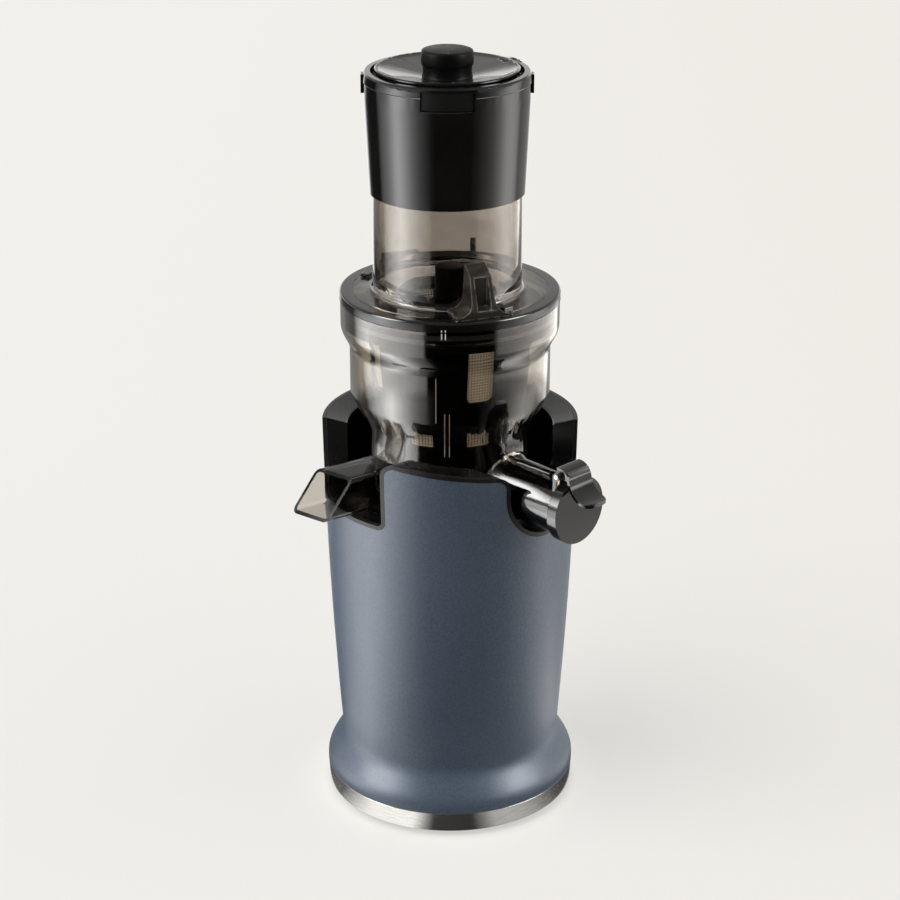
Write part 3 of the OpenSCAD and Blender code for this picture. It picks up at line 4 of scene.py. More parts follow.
import bmesh
import bpy
from mathutils import Matrix, Vector


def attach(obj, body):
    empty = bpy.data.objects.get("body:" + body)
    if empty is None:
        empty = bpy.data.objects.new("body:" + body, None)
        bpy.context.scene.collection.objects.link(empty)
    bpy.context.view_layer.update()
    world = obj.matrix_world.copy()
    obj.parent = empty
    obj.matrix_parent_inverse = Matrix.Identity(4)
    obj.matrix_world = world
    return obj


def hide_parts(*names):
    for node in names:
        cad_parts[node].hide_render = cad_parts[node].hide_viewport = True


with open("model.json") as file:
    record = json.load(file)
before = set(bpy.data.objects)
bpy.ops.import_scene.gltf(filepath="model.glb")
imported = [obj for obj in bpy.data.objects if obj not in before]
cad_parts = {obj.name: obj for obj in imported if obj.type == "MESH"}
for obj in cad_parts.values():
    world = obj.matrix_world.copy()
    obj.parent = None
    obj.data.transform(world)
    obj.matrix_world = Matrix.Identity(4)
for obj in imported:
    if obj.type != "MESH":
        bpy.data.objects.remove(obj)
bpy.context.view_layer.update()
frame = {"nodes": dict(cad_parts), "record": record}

MM = 0.001
FULL_TURN = 2 * math.pi
NODES = frame["nodes"]
SLOT_OF = {row["node"]: row["material_slot"] for row in frame["record"]["subparts"]}
BODY_OF = {node: body for body, members in frame["record"]["behaviour"]["bodies"].items() for node in members}

# Sizes that the added pieces share with the solids, in mm
TUBE_X = -1.6
TUBE_R = 46.6
TUBE_WALL = 2.4
LID_TOP_Z = 349.6
BOWL_RIM_R = 69.1
BOWL_RIM_Z = 343.0
LID_RING_R = 69.6
BOWL_LOW_IR = 52.1
BOWL_UP_R = 63.6
BOWL_UP_LOW_Z, BOWL_UP_TOP_Z = 282.3, 311.3
STRAINER_LOW_R, STRAINER_TOP_R = 40.5, 53.0
STRAINER_Z, STRAINER_TOP_Z = 213.3, 332.8
STRAINER_WALL = 2.4
MESH_T = 0.6
WINDOWS = 8
TALL_WINDOW_W, TALL_WINDOW_H, TALL_SILL_Z = 18.0, 39.0, 289.3
LOW_WINDOW_W, LOW_WINDOW_H, LOW_SILL_Z = 15.6, 9.5, 259.0
BASE_SCREWS = 4
BASE_SCREW_RING_R = 63.8
BASE_SCREW_Z = 5.0
BASE_SCREW_R, BASE_SCREW_H = 3.0, 2.0


# ---------------------------------------------------------------- node tools

def add_node(tree, kind, **settings):
    node = tree.nodes.new(kind)
    for key, value in settings.items():
        setattr(node, key, value)
    return node


def feed(tree, socket, value):
    """Links a socket, or sets it where the value is a plain one."""
    if isinstance(value, bpy.types.NodeSocket):
        tree.links.new(value, socket)
    else:
        socket.default_value = value


def new_group(name, inputs, outputs, kind="ShaderNodeTree"):
    """A node group with named sockets: inputs are (name, type, value), outputs (name, type)."""
    tree = bpy.data.node_groups.new(name, kind)
    for label, socket_type, value in inputs:
        socket = tree.interface.new_socket(label, in_out="INPUT", socket_type=socket_type)
        if value is not None:
            socket.default_value = value
    for label, socket_type in outputs:
        tree.interface.new_socket(label, in_out="OUTPUT", socket_type=socket_type)
    return tree, tree.nodes.new("NodeGroupInput"), tree.nodes.new("NodeGroupOutput")


def math_node(tree, operation, a, b=None):
    node = add_node(tree, "ShaderNodeMath", operation=operation)
    for socket, value in zip(node.inputs, (a, b)):
        if value is not None:
            feed(tree, socket, value)
    return node.outputs[0]


def vector_node(tree, operation, a, b, output="Vector"):
    node = add_node(tree, "ShaderNodeVectorMath", operation=operation)
    for socket, value in zip(node.inputs, (a, b)):
        feed(tree, socket, value)
    return node.outputs[output]


def spread(tree, value, low, high, out_low=0.0, out_high=1.0):
    """The value's way from low to high, held at both ends, turned into one from out_low to out_high."""
    node = add_node(tree, "ShaderNodeMapRange", clamp=True)
    for socket, item in zip(node.inputs, (value, low, high, out_low, out_high)):
        feed(tree, socket, item)
    return node.outputs[0]


def noise(tree, vector, scale, detail=2.0, roughness=0.5):
    node = add_node(tree, "ShaderNodeTexNoise")
    for label, value in (("Vector", vector), ("Scale", scale), ("Detail", detail), ("Roughness", roughness)):
        feed(tree, node.inputs[label], value)
    return node.outputs["Fac"]


def place_of(tree, kind="Object"):
    return tree.nodes.new("ShaderNodeTexCoord").outputs[kind]


def split(tree, vector):
    node = tree.nodes.new("ShaderNodeSeparateXYZ")
    tree.links.new(vector, node.inputs[0])
    return node.outputs


def join(tree, **parts):
    node = tree.nodes.new("ShaderNodeCombineXYZ")
    for axis, value in parts.items():
        tree.links.new(value, node.inputs[axis])
    return node.outputs[0]


def distance(tree, place):
    """Distance from the Z axis."""
    squares = [math_node(tree, "MULTIPLY", place[axis], place[axis]) for axis in ("X", "Y")]
    return math_node(tree, "SQRT", math_node(tree, "ADD", *squares))


# ---------------------------------------------------------------- effects that several finishes share

EDGE_MASK_SAMPLES = 4
EDGE_MASK_FROM, EDGE_MASK_FULL = 0.995, 0.86
FLECK_SCALE = 0.55


def make_moulded_grain():
    """Fine moulding grain for the bump and a slow tone that drifts over the piece."""
    tree, given, out = new_group(
        "moulded_grain",
        [("Grain Scale", "NodeSocketFloat", 900.0), ("Drift Scale", "NodeSocketFloat", 30.0)],
        [("Height", "NodeSocketFloat"), ("Drift", "NodeSocketFloat"), ("Fleck", "NodeSocketFloat")],
    )
    place = place_of(tree)
    fine = noise(tree, place, given.outputs["Grain Scale"], 3.0, 0.6)
    drift = noise(tree, place, given.outputs["Drift Scale"], 4.0, 0.55)
    fleck = noise(tree, place, math_node(tree, "MULTIPLY", given.outputs["Grain Scale"], FLECK_SCALE), 1.0)
    tree.links.new(fine, out.inputs["Height"])
    tree.links.new(spread(tree, drift, 0.3, 0.7), out.inputs["Drift"])
    tree.links.new(spread(tree, fleck, 0.35, 0.65), out.inputs["Fleck"])
    return tree


def make_edge_wear():
    """Mask along the outer edges, broken up so that the edge wear, and the painted highlight that the grip
    draws with it, is not an even line.
    """
    tree, given, out = new_group(
        "edge_wear",
        [("Width", "NodeSocketFloat", 0.0008), ("Breakup", "NodeSocketFloat", 220.0)],
        [("Mask", "NodeSocketFloat")],
    )
    rounded_off = add_node(tree, "ShaderNodeBevel", samples=EDGE_MASK_SAMPLES)
    tree.links.new(given.outputs["Width"], rounded_off.inputs["Radius"])
    facing = tree.nodes.new("ShaderNodeNewGeometry").outputs["True Normal"]
    along = vector_node(tree, "DOT_PRODUCT", rounded_off.outputs["Normal"], facing, "Value")
    bend = spread(tree, along, EDGE_MASK_FROM, EDGE_MASK_FULL)
    broken = spread(tree, noise(tree, place_of(tree), given.outputs["Breakup"], 4.0, 0.6), 0.38, 0.62)
    tree.links.new(math_node(tree, "MULTIPLY", bend, broken), out.inputs["Mask"])
    return tree


def make_handling():
    """Faint smears that change only the gloss, as on a piece that is wiped and handled."""
    tree, given, out = new_group(
        "handling",
        [("Scale", "NodeSocketFloat", 25.0), ("Stretch", "NodeSocketFloat", 0.35)],
        [("Smear", "NodeSocketFloat")],
    )
    place = split(tree, place_of(tree))
    stretched = join(tree, X=place["X"], Y=place["Y"],
                     Z=math_node(tree, "MULTIPLY", place["Z"], given.outputs["Stretch"]))
    slow = noise(tree, stretched, given.outputs["Scale"], 5.0, 0.62)
    tree.links.new(spread(tree, slow, 0.35, 0.72), out.inputs["Smear"])
    return tree


def make_brushed_lines():
    """Fine lines that run round the Z axis, as brushing or turning leaves them."""
    tree, given, out = new_group(
        "brushed_lines",
        [("Around", "NodeSocketFloat", 9.0), ("Up", "NodeSocketFloat", 2600.0)],
        [("Height", "NodeSocketFloat"), ("Streak", "NodeSocketFloat")],
    )
    place = split(tree, place_of(tree))
    turn = math_node(tree, "ARCTAN2", place["Y"], place["X"])
    unrolled = join(tree, X=math_node(tree, "MULTIPLY", turn, given.outputs["Around"]),
                    Y=math_node(tree, "MULTIPLY", distance(tree, place), given.outputs["Up"]),
                    Z=math_node(tree, "MULTIPLY", place["Z"], given.outputs["Up"]))
    lines = noise(tree, unrolled, 1.0)
    tree.links.new(lines, out.inputs["Height"])
    tree.links.new(spread(tree, lines, 0.35, 0.65), out.inputs["Streak"])
    return tree


GRAIN = make_moulded_grain()
WEAR_AND_GLINT = make_edge_wear()
HANDLING = make_handling()
BRUSHED = make_brushed_lines()


# ---------------------------------------------------------------- finishes

def place_group(tree, group, **values):
    node = add_node(tree, "ShaderNodeGroup", node_tree=group)
    for label, value in values.items():
        node.inputs[label.replace("_", " ")].default_value = value
    return node


def blend_colour(tree, mask, first, second):
    node = add_node(tree, "ShaderNodeMix", data_type="RGBA")
    feed(tree, node.inputs["Factor"], mask)
    for label, value in (("A", first), ("B", second)):
        socket = [s for s in node.inputs if s.name == label and s.type == "RGBA"][0]
        feed(tree, socket, value if isinstance(value, bpy.types.NodeSocket) else (*value, 1.0))
    return [s for s in node.outputs if s.type == "RGBA"][0]


def tint(colour, factor):
    return tuple(min(1.0, channel * factor) for channel in colour)


def bump(tree, shader, height, depth):
    node = add_node(tree, "ShaderNodeBump")
    node.inputs["Distance"].default_value = depth
    node.inputs["Strength"].default_value = 1.0
    tree.links.new(height, node.inputs["Height"])
    tree.links.new(node.outputs["Normal"], shader.inputs["Normal"])


def finish_base(name, own=None):
    """A new material with its shader, and the constants that belong on the shader's own sockets."""
    material = bpy.data.materials.new(name)
    material.use_nodes = True
    tree = material.node_tree
    shader = tree.nodes["Principled BSDF"]
    for label, value in (own or {}).items():
        shader.inputs[label].default_value = value
    return material, tree, shader


def moulded_finish(name, colour, rough, grain_scale, grain_depth, drift=0.10, fleck=0.0, fleck_colour=None,
                   wear=0.0, wear_colour=None, wear_width=0.0006, smear=0.08, drift_scale=30.0, own=None):
    """A moulded or coated surface: grain, drifting tone, flecks, worn edges and painted edge highlights, and
    uneven gloss.
    """
    material, tree, shader = finish_base(name, own)
    grain = place_group(tree, GRAIN, Grain_Scale=grain_scale, Drift_Scale=drift_scale)
    smears = place_group(tree, HANDLING)
    body = blend_colour(tree, grain.outputs["Drift"], tint(colour, 1 - drift), tint(colour, 1 + drift))
    if fleck:
        flecks = math_node(tree, "MULTIPLY", grain.outputs["Fleck"], fleck)
        body = blend_colour(tree, flecks, body, fleck_colour)
    # edge wear, and on the grip a painted edge highlight, laid along the edge mask
    if wear:
        edge = place_group(tree, WEAR_AND_GLINT, Width=wear_width)
        wear_and_glint_share = math_node(tree, "MULTIPLY", edge.outputs["Mask"], wear)
        body = blend_colour(tree, wear_and_glint_share, body, wear_colour)
    tree.links.new(body, shader.inputs["Base Color"])
    gloss = spread(tree, smears.outputs["Smear"], 0.0, 1.0, rough * (1 - smear), rough * (1 + 2 * smear))
    tree.links.new(gloss, shader.inputs["Roughness"])
    bump(tree, shader, grain.outputs["Height"], grain_depth)
    return material


def metal_finish(name, colour, rough, lines_up, lines_depth, around=9.0, streak=0.12, wear_dark=0.0):
    """A turned or brushed metal with streaks in its colour, gloss and bump."""
    material, tree, shader = finish_base(name, {"Metallic": 1.0})
    lines = place_group(tree, BRUSHED, Around=around, Up=lines_up)
    smears = place_group(tree, HANDLING, Scale=40.0)
    body = blend_colour(tree, lines.outputs["Streak"], tint(colour, 1 - streak), tint(colour, 1 + streak / 2))
    if wear_dark:
        body = blend_colour(tree, math_node(tree, "MULTIPLY", smears.outputs["Smear"], wear_dark),
                            body, tint(colour, 0.35))
    tree.links.new(body, shader.inputs["Base Color"])
    gloss = math_node(
        tree, "ADD",
        spread(tree, lines.outputs["Streak"], 0.0, 1.0, rough * 0.85, rough * 1.1),
        math_node(tree, "MULTIPLY", smears.outputs["Smear"], rough * 0.2),
    )
    tree.links.new(gloss, shader.inputs["Roughness"])
    bump(tree, shader, lines.outputs["Height"], lines_depth)
    return material


METALS = {
    "base_steel": dict(colour=(0.66, 0.65, 0.63), rough=0.17, lines_up=3200.0, lines_depth=0.000012),
    "bright_steel": dict(colour=(0.58, 0.58, 0.57), rough=0.24, lines_up=2400.0, lines_depth=0.00002,
                         wear_dark=0.2),
    "core_steel": dict(colour=(0.26, 0.25, 0.24), rough=0.42, lines_up=2000.0, lines_depth=0.00008,
                       around=3.0, wear_dark=0.35),
    "bush_brass": dict(colour=(0.62, 0.44, 0.20), rough=0.28, lines_up=2400.0, lines_depth=0.00002,
                       wear_dark=0.25),
}

SATIN = dict(grain_scale=1400.0, grain_depth=0.00002, drift=0.2, smear=0.15)


def satin(level, **more):
    """A moulded black with its own strength of mirror-like reflection."""
    return {**SATIN, "own": {"Specular IOR Level": level}, **more}


MOULDED = {
    "cast_aluminium": dict(
        colour=(0.50, 0.50, 0.49), rough=0.46, grain_scale=700.0, grain_depth=0.0001, drift=0.08,
        fleck=0.25, fleck_colour=(0.36, 0.36, 0.35), wear=0.4, wear_colour=(0.75, 0.75, 0.74),
        own={"Metallic": 0.9}),
    "shell_paint": dict(
        colour=(0.030, 0.047, 0.074), rough=0.47, grain_scale=1150.0, grain_depth=0.00009, drift=0.06,
        fleck=0.35, fleck_colour=(0.068, 0.092, 0.130), wear=0.25, wear_colour=(0.12, 0.145, 0.18),
        smear=0.10, drift_scale=12.0, own={"Coat Weight": 0.28, "Coat Roughness": 0.33}),
    "gloss_black": dict(
        colour=(0.0050, 0.0048, 0.0046), rough=0.075, grain_scale=500.0, grain_depth=0.000003, drift=0.25,
        smear=0.3, wear=0.3, wear_colour=(0.04, 0.04, 0.04), wear_width=0.0004),
    # polished evenly, so that it mirrors the room as one smooth tone
    "lid_disc_black": dict(
        colour=(0.0060, 0.0058, 0.0056), rough=0.11, grain_scale=400.0, grain_depth=0.000001, drift=0.2,
        smear=0.12),
    "inner_plastic": dict(
        colour=(0.0085, 0.0085, 0.0085), rough=0.27, grain_scale=1200.0, grain_depth=0.00002, drift=0.2,
        smear=0.2, wear=0.45, wear_colour=(0.06, 0.06, 0.06)),
    "marking_pale": dict(
        colour=(0.62, 0.60, 0.56), rough=0.4, grain_scale=1500.0, grain_depth=0.00002, drift=0.06,
        wear=0.3, wear_colour=(0.45, 0.43, 0.40)),
    "seal_rubber": dict(
        colour=(0.020, 0.020, 0.019), rough=0.62, grain_scale=1500.0, grain_depth=0.00004, drift=0.2,
        wear=0.2, wear_colour=(0.05, 0.05, 0.05)),
    "foot_rubber": dict(
        colour=(0.012, 0.012, 0.012), rough=0.7, grain_scale=900.0, grain_depth=0.00006, drift=0.25,
        fleck=0.2, fleck_colour=(0.04, 0.04, 0.04)),
    "gear_nylon": dict(
        colour=(0.62, 0.58, 0.48), rough=0.4, grain_scale=1300.0, grain_depth=0.00003, drift=0.07,
        wear=0.4, wear_colour=(0.75, 0.72, 0.64)),
    "board_green": dict(
        colour=(0.02, 0.12, 0.05), rough=0.32, grain_scale=500.0, grain_depth=0.00003, drift=0.15,
        fleck=0.5, fleck_colour=(0.03, 0.18, 0.08)),
    # the grip's darker tint, with a painted highlight along its edges where they catch the light
    "grip_smoke": dict(
        colour=(0.030, 0.026, 0.021), rough=0.07, grain_scale=400.0, grain_depth=0.000004, drift=0.2,
        wear=0.8, wear_colour=(0.42, 0.39, 0.34), wear_width=0.0012, own={"Alpha": 0.82}),
    "knob_black": satin(
        0.045, colour=(0.0032, 0.0031, 0.0030), rough=0.40, grain_scale=1700.0, grain_depth=0.00003,
        fleck=0.3, fleck_colour=(0.007, 0.007, 0.007), wear=0.35, wear_colour=(0.045, 0.045, 0.045)),
    "latch_black": satin(
        0.2, colour=(0.0045, 0.0043, 0.0042), rough=0.34, wear=0.3, wear_colour=(0.03, 0.03, 0.03)),
    "trim_black": satin(
        0.25, colour=(0.0055, 0.0053, 0.0050), rough=0.38, wear=0.45, wear_colour=(0.06, 0.06, 0.058)),
    "collar_black": satin(
        0.34, colour=(0.0016, 0.0015, 0.0015), rough=0.28, wear=0.4, wear_colour=(0.05, 0.05, 0.05)),
    "strainer_black": satin(
        0.05, colour=(0.0028, 0.0026, 0.0024), rough=0.38, wear=0.15, wear_colour=(0.03, 0.027, 0.024)),
    "auger_plastic": satin(
        0.08, colour=(0.0040, 0.0037, 0.0034), rough=0.36, wear=0.3, wear_colour=(0.03, 0.028, 0.026)),
}

# painted shade: the dark tone on the side of the panes that faces the auger, inside the strainer
MESH_INNER_SHADE = (0.02, 0.017, 0.013)


def mesh_tan():
    """Tan on the side that faces outwards, with painted shade on the side that faces the auger."""
    material = moulded_finish("mesh_tan", (0.97, 0.86, 0.68), 0.45, 2200.0, 0.00003, drift=0.03,
                              fleck=0.3, fleck_colour=(0.99, 0.93, 0.80))
    tree = material.node_tree
    base = tree.nodes["Principled BSDF"].inputs["Base Color"]
    level_place = vector_node(tree, "MULTIPLY", place_of(tree), (1.0, 1.0, 0.0))
    facing = tree.nodes.new("ShaderNodeNewGeometry").outputs["True Normal"]
    side = spread(tree, vector_node(tree, "DOT_PRODUCT", level_place, facing, "Value"), -0.002, 0.002)
    tree.links.new(blend_colour(tree, side, MESH_INNER_SHADE, base.links[0].from_socket), base)
    return material


SMOKE = (0.50, 0.462, 0.42)
SMOKE_EDGE = (0.18, 0.145, 0.105)
BOWL_SMOKE = (0.70, 0.655, 0.60)
BOWL_EDGE = (0.16, 0.13, 0.095)
SMOKE_IOR = 1.5
SMOKE_ROUGH = 0.012
SMOKE_SHADOW_ALPHA = 0.12
# The bowl's own darker places, in metres: the spout's thick wall and the cut face of the chute's mouth
SPOUT_SMOKE = (0.13, 0.10, 0.07)
SPOUT_OUT = (0.056, 0.062)
SPOUT_UNDER_Z = (0.256, 0.262)
MOUTH_SMOKE = (0.33, 0.28, 0.21)
MOUTH_FACING = (-0.52, -0.45)
MOUTH_X = (-0.0715, -0.0705)


def smoked(name, tone, edge_tone, edge_power):
    """Smoked clear plastic: faintly rippled, browner where seen edge on, and light in its own shadow."""
    material, tree, shader = finish_base(name, {"Transmission Weight": 1.0, "IOR": SMOKE_IOR})
    grain = place_group(tree, GRAIN, Grain_Scale=70.0, Drift_Scale=18.0)
    smears = place_group(tree, HANDLING, Scale=30.0)
    face_on = blend_colour(tree, grain.outputs["Drift"], tint(tone, 0.985), tint(tone, 1.015))
    edge_on = add_node(tree, "ShaderNodeLayerWeight")
    edge_on.inputs["Blend"].default_value = 0.5
    amount = math_node(tree, "POWER", edge_on.outputs["Facing"], edge_power)
    tree.links.new(blend_colour(tree, amount, face_on, edge_tone), shader.inputs["Base Color"])
    gloss = spread(tree, smears.outputs["Smear"], 0.0, 1.0, SMOKE_ROUGH, SMOKE_ROUGH * 2.5)
    tree.links.new(gloss, shader.inputs["Roughness"])
    bump(tree, shader, grain.outputs["Height"], 0.00002)
    path = tree.nodes.new("ShaderNodeLightPath")
    tree.links.new(spread(tree, path.outputs["Is Shadow Ray"], 0.0, 1.0, 1.0, SMOKE_SHADOW_ALPHA),
                   shader.inputs["Alpha"])
    return material


def bowl_smoke():
    """The bowl's smoke, deeper in the thick wall of the spout and on the rim of the chute's mouth."""
    material = smoked("bowl_smoke", BOWL_SMOKE, BOWL_EDGE, 1.0)
    tree = material.node_tree
    base = tree.nodes["Principled BSDF"].inputs["Base Color"]
    place = split(tree, place_of(tree))
    towards_spout = math_node(tree, "MULTIPLY", math_node(tree, "SUBTRACT", place["X"], place["Y"]),
                              math.sqrt(0.5))
    spout = math_node(tree, "MULTIPLY", spread(tree, towards_spout, *SPOUT_OUT),
                      spread(tree, place["Z"], *SPOUT_UNDER_Z, 1.0, 0.0))
    facing = split(tree, place_of(tree, "Normal"))
    mouth = math_node(tree, "MULTIPLY", spread(tree, facing["X"], *MOUTH_FACING, 1.0, 0.0),
                      spread(tree, place["X"], *MOUTH_X, 1.0, 0.0))
    tone = blend_colour(tree, spout, base.links[0].from_socket, SPOUT_SMOKE)
    tree.links.new(blend_colour(tree, mouth, tone, MOUTH_SMOKE), base)
    return material


FINISHES = {
    **{name: metal_finish(name, **look) for name, look in METALS.items()},
    **{name: moulded_finish(name, **look) for name, look in MOULDED.items()},
    "mesh_tan": mesh_tan(),
    "smoke_clear": smoked("smoke_clear", SMOKE, SMOKE_EDGE, 2.5),
    "bowl_smoke": bowl_smoke(),
}


def paint_solids():
    """Gives every solid that stays in view its slot's finish."""
    for name, node in NODES.items():
        node.data.materials.clear()
        node.data.materials.append(FINISHES[SLOT_OF[name]])


# ---------------------------------------------------------------- mesh tools

def add_piece(name, mesh, body, slot, replaced=(), finish=None):
    piece = bpy.data.objects.new(name, mesh)
    bpy.context.scene.collection.objects.link(piece)
    mesh.materials.clear()
    mesh.materials.append(FINISHES[finish or slot])
    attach(piece, body)
    if replaced:
        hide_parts(*replaced)
    return piece


def mesh_from(bm, name):
    mesh = bpy.data.meshes.new(name)
    bm.to_mesh(mesh)
    bm.free()
    return mesh


def evaluated_mesh(source, name):
    depsgraph = bpy.context.evaluated_depsgraph_get()
    mesh = bpy.data.meshes.new_from_object(source.evaluated_get(depsgraph))
    mesh.name = name
    return mesh


def temporary(mesh):
    holder = bpy.data.objects.new("temporary", mesh)
    bpy.context.scene.collection.objects.link(holder)
    return holder


def rounded(mesh, name, width, segments, angle):
    """The mesh with its sharp edges rounded, and smooth shading on what is curved."""
    mesh.shade_smooth()
    mesh.set_sharp_from_angle(angle=math.radians(angle))
    holder = temporary(mesh)
    edge = holder.modifiers.new("rounded_edges", "BEVEL")
    edge.width = width * MM
    edge.segments = segments
    edge.limit_method = "ANGLE"
    edge.angle_limit = math.radians(angle)
    edge.miter_outer = "MITER_ARC"
    edge.harden_normals = True
    result = evaluated_mesh(holder, name)
    bpy.data.objects.remove(holder)
    return result


MERGE = 0.004
FLAT = 0.6


def whole_copy(node, flat=FLAT):
    """A closed copy of a solid's loose triangles with its flat faces made whole."""
    bm = bmesh.new()
    bm.from_mesh(NODES[node].data)
    bmesh.ops.remove_doubles(bm, verts=bm.verts, dist=MERGE * MM)
    bmesh.ops.dissolve_limit(bm, angle_limit=math.radians(flat), verts=bm.verts, edges=bm.edges)
    return mesh_from(bm, node + "_copy")


SHOULDER_LOW_Z, SHOULDER_CONE_Z, SHOULDER_TOP_Z = 311.3, 318.3, 327.3
SHOULDER_STEPS = 10
SHOULDER_SNAP = 0.0005


def curve_shoulder(mesh):
    """Turns the bowl's short conical shoulder into a long soft curve, inside and outside alike."""
    low, top = SHOULDER_LOW_Z * MM, SHOULDER_TOP_Z * MM
    grow = (BOWL_RIM_R - BOWL_UP_R) * MM

    def cone_radius(z):
        share = (z / MM - SHOULDER_LOW_Z) / (SHOULDER_CONE_Z - SHOULDER_LOW_Z)
        return BOWL_UP_R * MM + grow * min(max(share, 0.0), 1.0)

    bm = bmesh.new()
    bm.from_mesh(mesh)
    for i in range(SHOULDER_STEPS + 1):
        z = low + (top - low) * i / SHOULDER_STEPS
        bmesh.ops.bisect_plane(bm, geom=bm.verts[:] + bm.edges[:] + bm.faces[:], dist=MM * SHOULDER_SNAP,
                               plane_co=(0, 0, z), plane_no=(0, 0, 1))
    for vert in bm.verts:
        z = vert.co.z
        if low < z < top:
            radius = math.hypot(vert.co.x, vert.co.y)
            curved = BOWL_UP_R * MM + grow * (1 - math.cos(math.pi * (z - low) / (top - low))) / 2
            share = (radius + curved - cone_radius(z)) / radius
            vert.co.x *= share
            vert.co.y *= share
    bm.to_mesh(mesh)
    bm.free()


def dress(node, name, width, segments, angle, finish=None, flat=FLAT):
    """A solid's own shape with soft edges, in the solid's place."""
    copy = whole_copy(node, flat)
    if node == "bowl":
        curve_shoulder(copy)
    mesh = rounded(copy, name, width, segments, angle)
    return add_piece(name, mesh, BODY_OF[node], SLOT_OF[node], (node,), finish)


def block(bm, azimuth, r0, r1, half_w, z0, z1, centre_x=0.0):
    """A six-sided block that faces outwards at an azimuth, between two radii and two heights."""
    a = math.radians(azimuth)
    out = Vector((math.sin(a), -math.cos(a), 0))
    side = Vector((math.cos(a), math.sin(a), 0))
    corners = []
    for z in (z0, z1):
        for r, s in ((r0, -1), (r1, -1), (r1, 1), (r0, 1)):
            corners.append(bm.verts.new((out * r + side * s * half_w + Vector((centre_x, 0, z))) * MM))
    for ring in ((0, 1, 2, 3), (7, 6, 5, 4), (0, 4, 5, 1), (1, 5, 6, 2), (2, 6, 7, 3), (3, 7, 4, 0)):
        bm.faces.new([corners[i] for i in ring])


def block_piece(name, body, slot, blocks, width=0.3, finish=None):
    bm = bmesh.new()
    for values in blocks:
        block(bm, *values)
    bmesh.ops.recalc_face_normals(bm, faces=bm.faces)
    mesh = rounded(mesh_from(bm, name), name, width, segments=3, angle=30)
    return add_piece(name, mesh, body, slot, finish=finish)


# ---------------------------------------------------------------- copies round the axis

def grown_mesh(tree, name, **values):
    """The plain mesh that a geometry node tree makes with these named inputs."""
    holder = temporary(bpy.data.meshes.new(name + "_seed"))
    modifier = holder.modifiers.new(name, "NODES")
    modifier.node_group = tree
    sockets = {item.name: item.identifier for item in tree.interface.items_tree if item.in_out == "INPUT"}
    for label, value in values.items():
        modifier[sockets[label.replace("_", " ")]] = value
    holder.update_tag()
    mesh = evaluated_mesh(holder, name)
    bpy.data.objects.remove(holder)
    return mesh


def copy_points(tree, given):
    """One point for each copy, and the angle that it is turned by."""
    spots = tree.nodes.new("GeometryNodePoints")
    tree.links.new(given.outputs["Count"], spots.inputs["Count"])
    step = math_node(tree, "DIVIDE", FULL_TURN, given.outputs["Count"])
    number = tree.nodes.new("GeometryNodeInputIndex").outputs[0]
    angle = math_node(tree, "ADD", given.outputs["Start Angle"], math_node(tree, "MULTIPLY", number, step))
    return spots, angle


def place_copies(tree, given, out, piece, spots, angle):
    """Turned copies of the piece on the points, made real and given their material."""
    link = tree.links.new
    copies = tree.nodes.new("GeometryNodeInstanceOnPoints")
    link(spots.outputs[0], copies.inputs["Points"])
    link(piece, copies.inputs["Instance"])
    link(join(tree, Z=angle), copies.inputs["Rotation"])
    real = tree.nodes.new("GeometryNodeRealizeInstances")
    link(copies.outputs["Instances"], real.inputs["Geometry"])
    finish = tree.nodes.new("GeometryNodeSetMaterial")
    link(real.outputs["Geometry"], finish.inputs["Geometry"])
    link(given.outputs["Material"], finish.inputs["Material"])
    link(finish.outputs["Geometry"], out.inputs["Geometry"])


# ---------------------------------------------------------------- the strainer's mesh panes

MESH_PITCH = 1.9
MESH_OPENING = 0.55
MESH_FILL = 0.95
PANE_LAP = 1.0
WELD = 0.000001
CONE_POWER = 0.75


def strainer_radius(z):
    share = (z - STRAINER_Z) / (STRAINER_TOP_Z - STRAINER_Z)
    return STRAINER_LOW_R + (STRAINER_TOP_R - STRAINER_LOW_R) * share ** CONE_POWER


def welded(tree, geometry):
    node = tree.nodes.new("GeometryNodeMergeByDistance")
    node.inputs["Distance"].default_value = WELD
    tree.links.new(geometry, node.inputs["Geometry"])
    return node.outputs["Geometry"]


def perforated_sheet(tree, given):
    """A flat closed sheet with a square opening in each cell of its grid."""
    link = tree.links.new
    sheet = tree.nodes.new("GeometryNodeMeshGrid")
    for socket, value in (("Size X", given.outputs["Width"]), ("Size Y", given.outputs["Height"]),
                          ("Vertices X", math_node(tree, "ADD", given.outputs["Columns"], 1.0)),
                          ("Vertices Y", math_node(tree, "ADD", given.outputs["Rows"], 1.0))):
        link(value, sheet.inputs[socket])
    cells = add_node(tree, "GeometryNodeExtrudeMesh", mode="FACES")
    cells.inputs["Offset Scale"].default_value = 0.0
    cells.inputs["Individual"].default_value = True
    link(sheet.outputs["Mesh"], cells.inputs["Mesh"])
    shrunk = add_node(tree, "GeometryNodeScaleElements", domain="FACE")
    link(cells.outputs["Mesh"], shrunk.inputs["Geometry"])
    link(cells.outputs["Top"], shrunk.inputs["Selection"])
    link(given.outputs["Opening"], shrunk.inputs["Scale"])
    holes = add_node(tree, "GeometryNodeDeleteGeometry", domain="FACE", mode="ONLY_FACE")
    link(shrunk.outputs["Geometry"], holes.inputs["Geometry"])
    link(cells.outputs["Top"], holes.inputs["Selection"])
    flat = welded(tree, holes.outputs["Geometry"])
    outer = add_node(tree, "GeometryNodeExtrudeMesh", mode="FACES")
    outer.inputs["Individual"].default_value = False
    link(flat, outer.inputs["Mesh"])
    link(given.outputs["Thickness"], outer.inputs["Offset Scale"])
    inner = tree.nodes.new("GeometryNodeFlipFaces")
    link(flat, inner.inputs["Mesh"])
    both = tree.nodes.new("GeometryNodeJoinGeometry")
    link(outer.outputs["Mesh"], both.inputs["Geometry"])
    link(inner.outputs["Mesh"], both.inputs["Geometry"])
    return welded(tree, both.outputs["Geometry"])


